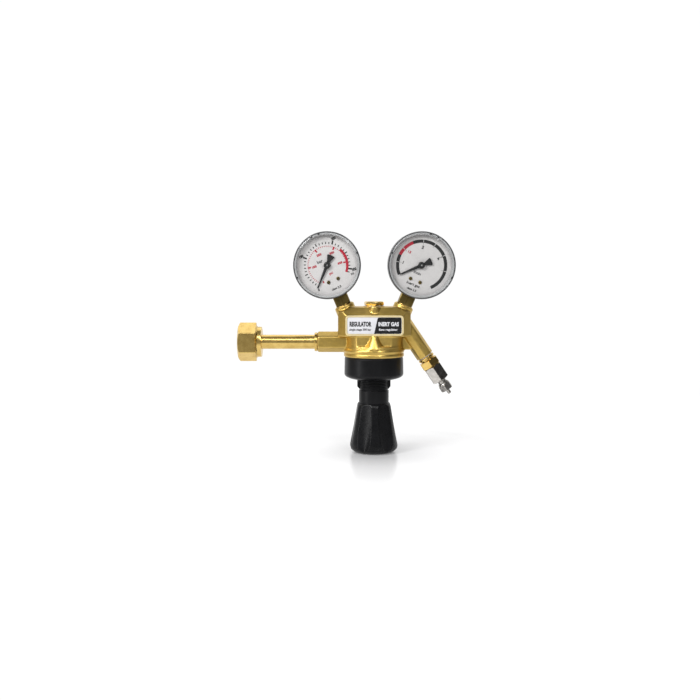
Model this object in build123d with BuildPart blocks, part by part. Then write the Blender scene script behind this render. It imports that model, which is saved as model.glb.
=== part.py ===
from build123d import *
from math import cos, pi, radians, sin, tan
import os

os.makedirs("parts", exist_ok=True)

# All sizes in millimetres. The regulator stands on the flat end of its knob: Z is the axis of the
# knob, the springs and the valve, X runs from the inlet to the outlet, and the dials face -Y.

# Gauges
GAUGE_X = 44.0
GAUGE_Z = 177.4
GAUGE_TILT = 22.5
CASE_R = 31.5
CASE_BACK = -10.0
CASE_FRONT = 16.0
DIAL_R = 29.6
DIAL_FACE = 10.3
DIAL_SCREW_REACH = 16.0
WINDOW_R = 30.4
SOCKET_W = 14.0
SOCKET_END = 40.0
PORT_END = 54.0

# Body
FLANGE_R = 28.5
FLANGE_LOW = 91.5
BLOCK_LOW = 111.3
BLOCK_TOP = 138.6
BLOCK_HALF = 33.9
PANEL_Y = 22.0
BLOCK_BACK = 20.0
WAIST_HALF = 26.5
WAIST_R = 27.2
CHAMBER_R = 20.0
CHAMBER_TOP = 98.5
VALVE_BORE_R = 6.0
PLUG_R = 7.0
SEAT_LOW = 99.5
SEAT_TOP = 102.5

# Inlet
INLET_Z = 105.1
STEM_R = 6.75
NUT_FLATS = 32.0
NUT_THREAD_R = 9.85
NUT_OUT = -128.2
NUT_BACK = -106.1

# Outlet arm
ARM_END = (48.5, 0, 91.6)
ARM_ANGLE = 56.0
ARM_FLATS = 15.6

# Bonnet and knob
BONNET_R = 28.0
NECK_R = 14.2
NECK_LOW = 21.5
KNOB_R = 23.1
KNOB_TOP = 47.0
KNOB_BORE = 14.7
SPINDLE_R = 6.0

# Gauge movement
PINION_TEETH = 10
PINION_R = 2.0
SECTOR_R = 12.0


def turned(frame, points):
    """Solid of revolution about the frame's x axis. Points are (distance along it, radius)."""
    with BuildPart() as result:
        with BuildSketch(frame):
            with BuildLine():
                Polyline(*points, close=True)
            make_face()
        revolve(axis=Axis(frame.origin, frame.x_dir))
    return result.part


def sleeve(frame, start, end, outer, inner=0.0):
    """Tube, or rod if inner is 0, along the frame's x axis."""
    return turned(frame, [(start, inner), (end, inner), (end, outer), (start, outer)])


def prism(frame, start, end, flats, sides, turn=0.0):
    """Regular prism along the frame's x axis, with a corner towards the frame's z axis."""
    across = Plane(
        origin=frame.origin + frame.x_dir * start, x_dir=frame.z_dir, z_dir=frame.x_dir
    )
    with BuildPart() as result:
        with BuildSketch(across):
            RegularPolygon(radius=flats / 2 / cos(pi / sides), side_count=sides, rotation=turn)
        extrude(amount=end - start)
    return result.part


def chamfered_prism(frame, start, end, flats, sides, turn=0.0, low=True, high=True):
    """Prism whose corners are turned off by a 30 degree cone at either end, as on a hexagon nut."""
    corner = flats / 2 / cos(pi / sides)
    inner = flats / 2 * 0.97
    drop = (corner - inner) * tan(radians(30))
    points = [(start, 0)]
    if low:
        points += [(start, inner), (start + drop, corner)]
    else:
        points += [(start, corner + 1)]
    if high:
        points += [(end - drop, corner), (end, inner)]
    else:
        points += [(end, corner + 1)]
    points += [(end, 0)]
    bar = prism(frame, start, end, flats, sides, turn)
    return bar & turned(frame, points)


def coil(frame, start, end, mean_r, wire_r, turns):
    """Compression spring along the frame's x axis, with its wire inside start and end."""
    low = frame.origin + frame.x_dir * (start + wire_r)
    height = end - start - 2 * wire_r
    with BuildPart() as result:
        with BuildLine():
            path = Helix(
                pitch=height / turns,
                height=height,
                radius=mean_r,
                center=tuple(low),
                direction=tuple(frame.x_dir),
            )
        with BuildSketch(Plane(origin=path @ 0, z_dir=path % 0)):
            Circle(wire_r)
        sweep(is_frenet=True)
    return result.part


def teeth(pitch_r, angles):
    """Points of the gear teeth centred on the given angles in degrees, roots to tips and back."""
    points = []
    for middle in angles:
        for radius, width in (
            (pitch_r - 0.5, -0.38),
            (pitch_r + 0.3, -0.13),
            (pitch_r + 0.3, 0.13),
            (pitch_r - 0.5, 0.38),
        ):
            angle = radians(middle) + width / radius
            points.append((radius * cos(angle), radius * sin(angle)))
    return points


UP = Plane(origin=(0, 0, 0), x_dir=(0, 0, 1), z_dir=(0, -1, 0))
INLET = Plane(origin=(0, 0, INLET_Z), x_dir=(1, 0, 0), z_dir=(0, -1, 0))
ARM_DIR = (cos(radians(ARM_ANGLE)), 0, -sin(radians(ARM_ANGLE)))
ARM = Plane(origin=ARM_END, x_dir=ARM_DIR, z_dir=(0, -1, 0))
RELIEF = Plane(origin=(0, 29, 0), x_dir=(0, 0, 1), z_dir=(0, -1, 0))
LEAN = radians(GAUGE_TILT)
SUPPLY_DOWN = Plane(
    origin=(-GAUGE_X, 0, GAUGE_Z), x_dir=(sin(LEAN), 0, -cos(LEAN)), z_dir=(0, -1, 0)
)
FLOW_DOWN = Plane(
    origin=(GAUGE_X, 0, GAUGE_Z), x_dir=(-sin(LEAN), 0, -cos(LEAN)), z_dir=(0, -1, 0)
)

# Valve body: forged brass, with the gauge ports, the inlet boss and the outlet arm in one piece.
flange = turned(
    UP,
    [
        (FLANGE_LOW, 0),
        (FLANGE_LOW, 28.0),
        (92.0, FLANGE_R),
        (94.2, FLANGE_R),
        (94.7, 27.7),
        (95.2, 27.9),
        (96.0, 28.5),
        (97.2, 28.8),
        (98.4, 28.5),
        (99.2, 27.9),
        (99.7, 27.2),
        (100.2, 27.6),
        (101.6, 27.6),
        (102.2, 26.9),
        (102.2, 0),
    ],
)
chamber = turned(
    UP,
    [
        (FLANGE_LOW - 1, 0),
        (FLANGE_LOW - 1, 23.9),
        (96.0, 23.9),
        (96.0, CHAMBER_R),
        (CHAMBER_TOP, CHAMBER_R),
        (CHAMBER_TOP, 2.2),
        (SEAT_LOW, 2.2),
        (SEAT_LOW, 5.0),
        (SEAT_TOP, 5.0),
        (SEAT_TOP, VALVE_BORE_R),
        (114.0, VALVE_BORE_R),
        (114.0, PLUG_R),
        (BLOCK_TOP + 5, PLUG_R),
        (BLOCK_TOP + 5, 0),
    ],
)
inlet_boss = chamfered_prism(INLET, -53.5, -20, 17.2, 6, turn=30, high=False)
inlet_bores = turned(
    INLET, [(-60, 0), (-60, 6.6), (-39.5, 6.6), (-39.5, 2.0), (-3, 2.0), (-3, 0)]
)
arm = chamfered_prism(ARM, -40, 0, ARM_FLATS, 8, low=False, high=False)
arm_bores = turned(
    ARM, [(3, 0), (3, 5.5), (-10.5, 5.5), (-10.5, 2.0), (-16, 2.0), (-16, 0)]
)
relief_boss = sleeve(RELIEF, 93.5, 106.0, 8.0)
relief_bores = turned(
    RELIEF,
    [
        (113, 0),
        (113, 8.7),
        (106, 8.7),
        (106, 6.0),
        (99.5, 6.0),
        (99.5, 1.3),
        (97.0, 1.3),
        (97.0, 0),
    ],
)
relief_feed = sleeve(
    Plane(origin=(0, 18, 97.25), x_dir=(0, 1, 0), z_dir=(0, 0, 1)), 0, 12.2, 1.2
)
outlet_feed_start = Vector(16, 0, 97.0)
outlet_feed_end = Vector(41.3, 0, 102.3)
outlet_feed = sleeve(
    Plane(
        origin=outlet_feed_start,
        x_dir=(outlet_feed_end - outlet_feed_start).normalized(),
        z_dir=(0, -1, 0),
    ),
    0,
    (outlet_feed_end - outlet_feed_start).length,
    1.5,
)
supply_port = turned(
    SUPPLY_DOWN, [(38, 0), (38, 6.55), (55, 6.55), (55, 1.5), (75.0, 1.5), (75.0, 0)]
)
flow_port = turned(
    FLOW_DOWN, [(38, 0), (38, 6.55), (55, 6.55), (55, 1.5), (86.0, 1.5), (86.0, 0)]
)
supply_feed = sleeve(
    Plane(origin=(0, 0, 108.3), x_dir=(1, 0, 0), z_dir=(0, -1, 0)), -16.5, -3, 1.5
)

# Upper block, seen from the front: flat top with both corners cut square to the gauges.
with BuildPart() as block:
    with BuildSketch(Plane.XZ.offset(-BLOCK_BACK)):
        with BuildLine():
            Polyline(
                (-BLOCK_HALF, BLOCK_LOW),
                (-BLOCK_HALF, 133.4),
                (-21.4, BLOCK_TOP),
                (21.4, BLOCK_TOP),
                (BLOCK_HALF, 133.4),
                (BLOCK_HALF, BLOCK_LOW),
                close=True,
            )
        make_face()
    extrude(amount=BLOCK_BACK + PANEL_Y)
    # Chamfer faces between the front panel and the sides, and the sloped band over the panel.
    chamfer(block.edges().filter_by(Axis.Z), length=7.4)
    chamfer(block.edges().filter_by(Axis.X).group_by(Axis.Z)[-1], length=7.5)

# Waist under the block: flat in front, behind and at the sides, and round at its corners.
with BuildPart() as waist:
    with BuildSketch(Plane.XY.offset(101)):
        Circle(WAIST_R)
        with Locations((0, (BLOCK_BACK - PANEL_Y) / 2)):
            Rectangle(2 * WAIST_HALF, BLOCK_BACK + PANEL_Y - 0.4, mode=Mode.INTERSECT)
    extrude(amount=BLOCK_LOW + 3 - 101)

with BuildPart() as valve_body:
    add(flange)
    add(waist.part)
    add(block.part)
    # Frame standing round the label.
    with BuildSketch(Plane.XZ.offset(PANEL_Y)):
        with Locations((0, 121.8)):
            RectangleRounded(53.6, 18.6, 3.2)
            RectangleRounded(51.0, 16.0, 2.0, mode=Mode.SUBTRACT)
    extrude(amount=0.9)
    # Round rib from the label up to the plug.
    with BuildSketch(Plane.XY.offset(131.4)):
        with Locations((0, -15.6)):
            Circle(4.8)
    extrude(amount=BLOCK_TOP - 131.4 + 0.6)
    # Boss under the plug.
    add(sleeve(UP, BLOCK_TOP - 6, BLOCK_TOP + 0.6, 10.6))
    # Buttress under the label, with two faces meeting on the middle line.
    with BuildSketch(Plane.XY.offset(100.5)):
        with BuildLine():
            Polyline((-9.0, -18.0), (9.0, -18.0), (0, -27.6), close=True)
        make_face()
    with BuildSketch(Plane.XY.offset(BLOCK_LOW + 0.4)):
        with BuildLine():
            Polyline((-1.4, -18.0), (1.4, -18.0), (0, -22.0), close=True)
        make_face()
    loft()
    # Inlet boss, outlet arm, web to the arm, relief boss and gauge bosses.
    add(inlet_boss)
    add(arm)
    with BuildSketch(Plane.XZ.offset(-5)):
        with BuildLine():
            Polyline((20, 98), (34.8, 98), (40, 104.6), (37, 109.5), (20, 109.5), close=True)
        make_face()
    extrude(amount=10)
    add(relief_boss)
    add(sleeve(SUPPLY_DOWN, 40.8, 52, 9.4))
    add(sleeve(FLOW_DOWN, 40.8, 52, 9.4))
    add(chamber, mode=Mode.SUBTRACT)
    add(inlet_bores, mode=Mode.SUBTRACT)
    add(arm_bores, mode=Mode.SUBTRACT)
    add(relief_bores, mode=Mode.SUBTRACT)
    add(relief_feed, mode=Mode.SUBTRACT)
    add(outlet_feed, mode=Mode.SUBTRACT)
    add(supply_port, mode=Mode.SUBTRACT)
    add(flow_port, mode=Mode.SUBTRACT)
    add(supply_feed, mode=Mode.SUBTRACT)
valve_body.part.label = "valve_body"
export_step(valve_body.part, "parts/valve_body.step")

# Label plate, glued inside the frame on the front panel.
with BuildPart() as label_plate:
    with BuildSketch(Plane.XZ.offset(PANEL_Y)):
        with Locations((0, 121.8)):
            RectangleRounded(50.5, 15.5, 1.8)
    extrude(amount=0.6)
label_plate.part.label = "label_plate"
export_step(label_plate.part, "parts/label_plate.step")

# Valve plug: closes the valve bore from the top and guides the poppet.
plug_bore = turned(
    UP, [(119, 0), (119, 4.6), (126, 4.6), (126, 1.55), (132, 1.55), (132, 0)]
)
with BuildPart() as valve_plug:
    add(chamfered_prism(UP, 139.8, 143.4, 17.0, 6, turn=10, low=False))
    add(sleeve(UP, 120, 139.8, PLUG_R))
    add(plug_bore, mode=Mode.SUBTRACT)
valve_plug.part.label = "valve_plug"
export_step(valve_plug.part, "parts/valve_plug.step")

plug_seal = sleeve(UP, 139.2, 139.8, 8.3, PLUG_R)
plug_seal.label = "plug_seal"
export_step(plug_seal, "parts/plug_seal.step")

# Valve seat: pressed into the floor of the valve bore, with a raised lip round its orifice.
valve_seat = turned(
    UP,
    [(SEAT_LOW, 1.6), (SEAT_TOP, 1.6), (SEAT_TOP, 5.0), (SEAT_LOW, 5.0)],
)
valve_seat.label = "valve_seat"
export_step(valve_seat, "parts/valve_seat.step")

# Valve poppet: soft disc in a steel holder, with a stem guided in the plug.
valve_poppet = turned(
    UP,
    [
        (SEAT_TOP, 0),
        (SEAT_TOP, 3.4),
        (106.0, 3.4),
        (106.0, 4.4),
        (107.5, 4.4),
        (107.5, 2.6),
        (110.0, 2.6),
        (110.0, 1.5),
        (128.0, 1.5),
        (128.0, 0),
    ],
)
valve_poppet.label = "valve_poppet"
export_step(valve_poppet, "parts/valve_poppet.step")

valve_pin = sleeve(UP, 96.0, SEAT_TOP, 1.0)
valve_pin.label = "valve_pin"
export_step(valve_pin, "parts/valve_pin.step")

poppet_spring = coil(UP, 107.5, 126.0, 3.4, 0.4, 8)
poppet_spring.label = "poppet_spring"
export_step(poppet_spring, "parts/poppet_spring.step")

# Diaphragm stack
diaphragm = turned(
    UP,
    [
        (95.2, 0),
        (95.2, 14.5),
        (95.7, 16.5),
        (95.2, 18.8),
        (95.2, 23.8),
        (96.0, 23.8),
        (96.0, 18.8),
        (96.5, 16.5),
        (96.0, 14.5),
        (96.0, 0),
    ],
)
diaphragm.label = "diaphragm"
export_step(diaphragm, "parts/diaphragm.step")

slip_ring = sleeve(UP, 94.4, 95.2, 23.8, 19.4)
slip_ring.label = "slip_ring"
export_step(slip_ring, "parts/slip_ring.step")

diaphragm_plate = turned(
    UP,
    [(88.5, 0), (88.5, 6.6), (91.5, 6.6), (91.5, 13.4), (92.5, 14.0), (95.2, 14.0), (95.2, 0)],
)
diaphragm_plate.label = "diaphragm_plate"
export_step(diaphragm_plate, "parts/diaphragm_plate.step")

# Bonnet with its neck: clamps the diaphragm and carries the bush for the spindle.
bonnet_outside = [
    (NECK_LOW, 0),
    (NECK_LOW, NECK_R - 0.8),
    (NECK_LOW + 0.8, NECK_R),
    (59.0, NECK_R),
    (59.6, NECK_R - 0.5),
    (60.0, 13.0),
]
ridge_pitch = 1.5
for ridge in range(6):
    base = 60.0 + ridge * ridge_pitch
    bonnet_outside += [(base + 0.45, 13.5), (base + 1.0, 13.5), (base + 1.35, 13.0)]
bonnet_outside += [
    (69.2, 13.0),
    (69.3, 14.9),
    (70.0, 19.6),
    (70.9, 23.2),
    (72.2, 26.2),
    (73.6, 27.6),
    (75.0, BONNET_R),
    (89.9, 27.7),
    (90.9, 27.5),
    (FLANGE_LOW, 27.2),
    (FLANGE_LOW, 23.8),
    (94.4, 23.8),
    (94.4, 0),
]
bonnet_inside = turned(
    UP,
    [
        (NECK_LOW - 1, 0),
        (NECK_LOW - 1, 10.0),
        (38.0, 10.0),
        (38.0, 11.4),
        (74.0, 11.4),
        (78.0, 19.4),
        (95.0, 19.4),
        (95.0, 0),
    ],
)
with BuildPart() as bonnet:
    add(turned(UP, bonnet_outside))
    # Two stop lugs on the sides of the neck, cut off at a slant below.
    for side in (-1, 1):
        with BuildSketch(Plane.XZ.offset(-1.6)):
            with BuildLine():
                Polyline(
                    (side * 12.5, 60.2),
                    (side * 13.6, 60.2),
                    (side * 15.7, 62.6),
                    (side * 15.7, 69.6),
                    (side * 12.5, 69.6),
                    close=True,
                )
            make_face()
        extrude(amount=3.2)
    add(bonnet_inside, mode=Mode.SUBTRACT)
    # Breather hole in the bonnet wall, at the back.
    with BuildSketch(Plane.XZ.offset(-30)):
        with Locations((0, 82)):
            Circle(1.0)
    extrude(amount=14, mode=Mode.SUBTRACT)
bonnet.part.label = "bonnet"
export_step(bonnet.part, "parts/bonnet.step")

spindle_bush = sleeve(UP, NECK_LOW, 37.5, 10.0, SPINDLE_R + 0.05)
spindle_bush.label = "spindle_bush"
export_step(spindle_bush, "parts/spindle_bush.step")

# Adjusting knob: six lobes on a cone, hollow so that it slides up over the neck.
knob_outside = turned(
    UP,
    [
        (0, 0),
        (0, 16.6),
        (0.5, 18.2),
        (1.5, 20.0),
        (3.0, 21.7),
        (5.0, 22.8),
        (7.0, KNOB_R),
        (9.0, 22.9),
        (43.6, 16.9),
        (44.8, 16.5),
        (45.9, 15.9),
        (46.6, 15.3),
        (KNOB_TOP, 15.1),
        (KNOB_TOP, 0),
    ],
)
knob_inside = turned(
    UP,
    [
        (-1, 0),
        (-1, 12.0),
        (2.0, 12.0),
        (2.0, 9.0),
        (2.5, 9.0),
        (2.5, SPINDLE_R),
        (12.0, SPINDLE_R),
        (12.0, KNOB_BORE),
        (KNOB_TOP + 1, KNOB_BORE),
        (KNOB_TOP + 1, 0),
    ],
)
FLUTE_LOW_R = 5.6
FLUTE_HIGH_R = 60.0
with BuildPart() as adjusting_knob:
    add(knob_outside)
    for number in range(6):
        turn = radians(60 * number + 90 + 30 + 3)
        with BuildSketch(Plane.XY.offset(3.0)):
            centre = 21.3 + FLUTE_LOW_R
            with Locations((centre * cos(turn), centre * sin(turn))):
                Circle(FLUTE_LOW_R)
        with BuildSketch(Plane.XY.offset(45.6)):
            centre = 15.45 + FLUTE_HIGH_R
            with Locations((centre * cos(turn), centre * sin(turn))):
                Circle(FLUTE_HIGH_R)
        loft(mode=Mode.SUBTRACT)
    add(knob_inside, mode=Mode.SUBTRACT)
    add(prism(UP, 2.0, 9.0, 18.2, 6), mode=Mode.SUBTRACT)
adjusting_knob.part.label = "adjusting_knob"
export_step(adjusting_knob.part, "parts/adjusting_knob.step")

knob_cap = sleeve(UP, 0, 2.0, 12.0)
knob_cap.label = "knob_cap"
export_step(knob_cap, "parts/knob_cap.step")

# Spindle: screw with a hexagon head seated in the knob.
with BuildPart() as spindle:
    add(prism(UP, 2.0, 9.0, 18.2, 6))
    add(turned(UP, [(9.0, 0), (9.0, SPINDLE_R), (47.0, SPINDLE_R), (48.0, 5.0), (48.0, 0)]))
    with Locations((0, 0, 49.2)):
        Sphere(2.4, mode=Mode.SUBTRACT)
spindle.part.label = "spindle"
export_step(spindle.part, "parts/spindle.step")

with BuildPart() as thrust_ball:
    with Locations((0, 0, 49.2)):
        Sphere(2.4)
thrust_ball.part.label = "thrust_ball"
export_step(thrust_ball.part, "parts/thrust_ball.step")

# Spring button: rides up on the ball and carries the main spring.
with BuildPart() as spring_button:
    add(
        turned(
            UP,
            [
                (49.0, 0),
                (49.0, 6.0),
                (50.5, 11.0),
                (53.0, 11.0),
                (53.0, 6.4),
                (56.0, 6.0),
                (56.0, 0),
            ],
        )
    )
    with Locations((0, 0, 49.2)):
        Sphere(2.45, mode=Mode.SUBTRACT)
spring_button.part.label = "spring_button"
export_step(spring_button.part, "parts/spring_button.step")

main_spring = coil(UP, 53.0, 91.5, 8.6, 1.5, 6.5)
main_spring.label = "main_spring"
export_step(main_spring, "parts/main_spring.step")

# Relief valve, standing on the boss behind the body.
relief_bore = turned(
    RELIEF, [(99, 0), (99, 1.3), (101, 1.3), (101, 3.6), (117, 3.6), (117, 0)]
)
with BuildPart() as relief_valve_body:
    add(sleeve(RELIEF, 99.5, 106.0, 6.0))
    add(chamfered_prism(RELIEF, 106.0, 110.6, 14.0, 6, low=False))
    add(sleeve(RELIEF, 110.6, 116.0, 5.4))
    add(relief_bore, mode=Mode.SUBTRACT)
relief_valve_body.part.label = "relief_valve_body"
export_step(relief_valve_body.part, "parts/relief_valve_body.step")

relief_cap = turned(
    RELIEF,
    [
        (111.2, 5.4),
        (116.0, 5.4),
        (116.0, 1.0),
        (119.0, 1.0),
        (119.0, 5.6),
        (118.2, 6.4),
        (111.2, 6.4),
    ],
)
relief_cap.label = "relief_cap"
export_step(relief_cap, "parts/relief_cap.step")

relief_poppet = turned(
    RELIEF, [(101.0, 0), (101.0, 3.3), (103.4, 3.3), (103.4, 1.5), (106.5, 1.5), (106.5, 0)]
)
relief_poppet.label = "relief_poppet"
export_step(relief_poppet, "parts/relief_poppet.step")

relief_spring = coil(RELIEF, 103.4, 116.0, 2.5, 0.35, 7)
relief_spring.label = "relief_spring"
export_step(relief_spring, "parts/relief_spring.step")

# Inlet nipple: stem with a collar that the nut pulls against the cylinder valve.
inlet_nipple = turned(
    INLET,
    [
        (-115.0, 4.2),
        (-115.0, 9.2),
        (-111.2, 9.2),
        (-111.2, STEM_R),
        (-56.2, STEM_R),
        (-56.2, 8.4),
        (-55.8, 8.9),
        (-53.9, 8.9),
        (-53.5, 8.4),
        (-53.5, 6.6),
        (-40.0, 6.6),
        (-40.0, 2.5),
        (-102.0, 2.5),
        (-102.0, 4.2),
    ],
)
inlet_nipple.label = "inlet_nipple"
export_step(inlet_nipple, "parts/inlet_nipple.step")

inlet_filter = sleeve(INLET, -114.0, -102.0, 4.2, 2.6)
inlet_filter.label = "inlet_filter"
export_step(inlet_filter, "parts/inlet_filter.step")

inlet_seal = sleeve(INLET, -117.0, -115.0, 9.2, 4.0)
inlet_seal.label = "inlet_seal"
export_step(inlet_seal, "parts/inlet_seal.step")

slip_washer = sleeve(INLET, -111.2, -110.4, 9.9, STEM_R + 0.05)
slip_washer.label = "slip_washer"
export_step(slip_washer, "parts/slip_washer.step")

nut_bore = turned(
    INLET,
    [
        (NUT_OUT - 1, 0),
        (NUT_OUT - 1, 11.6),
        (NUT_OUT, 11.1),
        (NUT_OUT + 1.2, NUT_THREAD_R),
        (-117.6, NUT_THREAD_R),
        (-117.6, 11.2),
        (-110.4, 11.2),
        (-110.4, STEM_R + 0.35),
        (-105, STEM_R + 0.35),
        (-105, 0),
    ],
)
with BuildPart() as inlet_nut:
    add(chamfered_prism(INLET, NUT_OUT, -111.1, NUT_FLATS, 6, turn=30, high=False))
    add(
        turned(
            INLET,
            [
                (-111.1, 0),
                (-111.1, 15.6),
                (-109.9, 14.35),
                (-106.6, 14.35),
                (NUT_BACK, 13.8),
                (NUT_BACK, 0),
            ],
        )
    )
    add(nut_bore, mode=Mode.SUBTRACT)
inlet_nut.part.label = "inlet_nut"
export_step(inlet_nut.part, "parts/inlet_nut.step")

# Outlet fittings on the arm. Distances are from the end of the arm.
outlet_seal = sleeve(ARM, 0, 0.9, 6.9, 5.5)
outlet_seal.label = "outlet_seal"
export_step(outlet_seal, "parts/outlet_seal.step")

with BuildPart() as outlet_adapter:
    add(
        turned(
            ARM,
            [
                (-9.5, 2.0),
                (-9.5, 5.5),
                (0.9, 5.5),
                (0.9, 7.6),
                (1.2, 8.0),
                (2.8, 8.0),
                (3.1, 7.6),
                (3.1, 6.6),
                (4.6, 6.6),
                (4.6, 2.0),
            ],
        )
    )
    add(chamfered_prism(ARM, 4.4, 11.5, 17.0, 6))
    add(sleeve(ARM, -12, 13, 2.0), mode=Mode.SUBTRACT)
    add(sleeve(ARM, 5.0, 13, 5.0), mode=Mode.SUBTRACT)
outlet_adapter.part.label = "outlet_adapter"
export_step(outlet_adapter.part, "parts/outlet_adapter.step")

with BuildPart() as hose_connector:
    add(sleeve(ARM, 5.0, 12.0, 5.0))
    add(chamfered_prism(ARM, 11.5, 27.3, 16.0, 6))
    add(sleeve(ARM, 27.0, 33.0, 4.2))
    add(sleeve(ARM, 4, 34, 1.6), mode=Mode.SUBTRACT)
hose_connector.part.label = "hose_connector"
export_step(hose_connector.part, "parts/hose_connector.step")

hose_tail = turned(
    ARM,
    [
        (33.0, 0.6),
        (33.0, 4.2),
        (34.4, 4.2),
        (34.4, 2.3),
        (38.6, 2.3),
        (38.6, 1.8),
        (42.2, 1.8),
        (42.8, 1.4),
        (42.8, 0.6),
    ],
)
hose_tail.label = "hose_tail"
export_step(hose_tail, "parts/hose_tail.step")

hose_nut_bore = turned(
    ARM, [(29, 0), (29, 4.6), (34.8, 4.6), (34.8, 2.6), (40, 2.6), (40, 0)]
)
with BuildPart() as hose_nut:
    add(turned(ARM, [(30.6, 0), (30.6, 5.0), (31.8, 5.5), (32.4, 5.5), (32.4, 0)]))
    add(chamfered_prism(ARM, 32.2, 38.4, 11.0, 6, turn=8))
    add(hose_nut_bore, mode=Mode.SUBTRACT)
hose_nut.part.label = "hose_nut"
export_step(hose_nut.part, "parts/hose_nut.step")


def make_gauge(prefix, down, right):
    """Parts of one gauge. down points from its centre to its socket, right to its dial's right."""
    centre = down.origin
    face = Plane(origin=centre, x_dir=right, z_dir=(0, -1, 0))
    depth = Plane(origin=centre, x_dir=(0, -1, 0), z_dir=right)

    with BuildPart() as case:
        add(
            turned(
                depth,
                [
                    (CASE_BACK, 0),
                    (CASE_BACK, 29.6),
                    (CASE_BACK + 0.6, 30.9),
                    (CASE_BACK + 2.0, CASE_R),
                    (CASE_FRONT - 0.3, CASE_R),
                    (CASE_FRONT, 31.2),
                    (CASE_FRONT, 30.4),
                    (CASE_BACK + 1.0, 30.4),
                    (CASE_BACK + 1.0, 0),
                ],
            )
        )
        with BuildSketch(Plane(origin=centre + down.x_dir * 26, x_dir=right, z_dir=down.x_dir)):
            Rectangle(SOCKET_W, SOCKET_W)
        extrude(amount=8, mode=Mode.SUBTRACT)
    case.part.label = prefix + "_case"
    export_step(case.part, "parts/" + prefix + "_case.step")

    # Clear cover that snaps into the case, with a skirt that holds it.
    window = turned(
        depth,
        [
            (11.6, WINDOW_R),
            (11.6, 28.9),
            (14.6, 28.6),
            (14.9, 0),
            (17.5, 0),
            (17.3, 22.0),
            (16.8, 28.6),
            (16.2, WINDOW_R),
        ],
    )
    window.label = prefix + "_window"
    export_step(window, "parts/" + prefix + "_window.step")

    screw_turn = radians(17.5)
    screw_x = DIAL_SCREW_REACH * sin(screw_turn)
    screw_y = -DIAL_SCREW_REACH * cos(screw_turn)
    screw_spots = [(-screw_x, screw_y), (screw_x, screw_y)]
    with BuildPart() as dial:
        with BuildSketch(face.offset(9.5)):
            Circle(DIAL_R)
            Circle(3.2, mode=Mode.SUBTRACT)
            with Locations(*screw_spots):
                Circle(0.9, mode=Mode.SUBTRACT)
        extrude(amount=DIAL_FACE - 9.5)
    dial.part.label = prefix + "_dial"
    export_step(dial.part, "parts/" + prefix + "_dial.step")

    with BuildPart() as dial_screws:
        with BuildSketch(face.offset(6.5)):
            with Locations(*screw_spots):
                Circle(0.9)
        extrude(amount=DIAL_FACE - 6.5)
        with BuildSketch(face.offset(DIAL_FACE)):
            with Locations(*screw_spots):
                Circle(1.7)
        extrude(amount=0.9)
        with BuildSketch(face.offset(DIAL_FACE + 0.5)):
            with Locations(*screw_spots):
                Rectangle(3.6, 0.5)
        extrude(amount=0.5, mode=Mode.SUBTRACT)
    dial_screws.part.label = prefix + "_dial_screws"
    export_step(dial_screws.part, "parts/" + prefix + "_dial_screws.step")

    # Socket: block inside the case, square shank below it and a pipe thread into the body.
    with BuildPart() as socket:
        with BuildSketch(Plane(origin=centre + down.x_dir * 19, x_dir=right, z_dir=down.x_dir)):
            Rectangle(SOCKET_W, SOCKET_W)
        extrude(amount=SOCKET_END - 19)
        add(sleeve(down, SOCKET_END, PORT_END - 1, 6.5))
        add(
            turned(
                down,
                [(PORT_END - 1, 0), (PORT_END - 1, 6.5), (PORT_END, 5.6), (PORT_END, 0)],
            )
        )
        with BuildSketch(face):
            with BuildLine():
                Polyline((0.5, -18), (0.5, -24), (9, -24), (9, -18), close=True)
            make_face()
        extrude(amount=2.5, both=True, mode=Mode.SUBTRACT)
        add(sleeve(down, 26.0, PORT_END + 1, 1.25), mode=Mode.SUBTRACT)
        add(sleeve(down, 23.0, 27.0, 0.8), mode=Mode.SUBTRACT)
    socket.part.label = prefix + "_socket"
    export_step(socket.part, "parts/" + prefix + "_socket.step")

    gauge_seal = sleeve(down, SOCKET_END, 40.8, 8.4, 6.55)
    gauge_seal.label = prefix + "_seal"
    export_step(gauge_seal, "parts/" + prefix + "_seal.step")

    # Bourdon tube: flat tube bent to a C, from the socket's slot round to a closed end.
    tube_r = 22.0
    with BuildPart() as bourdon_tube:
        with BuildSketch(Plane(origin=centre, x_dir=right, z_dir=(0, -1, 0)).offset(-2.3)):
            with BuildLine():
                outer_r = tube_r + 0.9
                inner_r = tube_r - 0.9
                low = radians(-80)
                far = radians(205)
                mid = (low + far) / 2
                outer_arc = ThreePointArc(
                    (outer_r * cos(low), outer_r * sin(low)),
                    (outer_r * cos(mid), outer_r * sin(mid)),
                    (outer_r * cos(far), outer_r * sin(far)),
                )
                inner_arc = ThreePointArc(
                    (inner_r * cos(low), inner_r * sin(low)),
                    (inner_r * cos(mid), inner_r * sin(mid)),
                    (inner_r * cos(far), inner_r * sin(far)),
                )
                Line(outer_arc @ 0, inner_arc @ 0)
                Line(outer_arc @ 1, inner_arc @ 1)
            make_face()
        extrude(amount=4.6)
    bourdon_tube.part.label = prefix + "_bourdon_tube"
    export_step(bourdon_tube.part, "parts/" + prefix + "_bourdon_tube.step")

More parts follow.
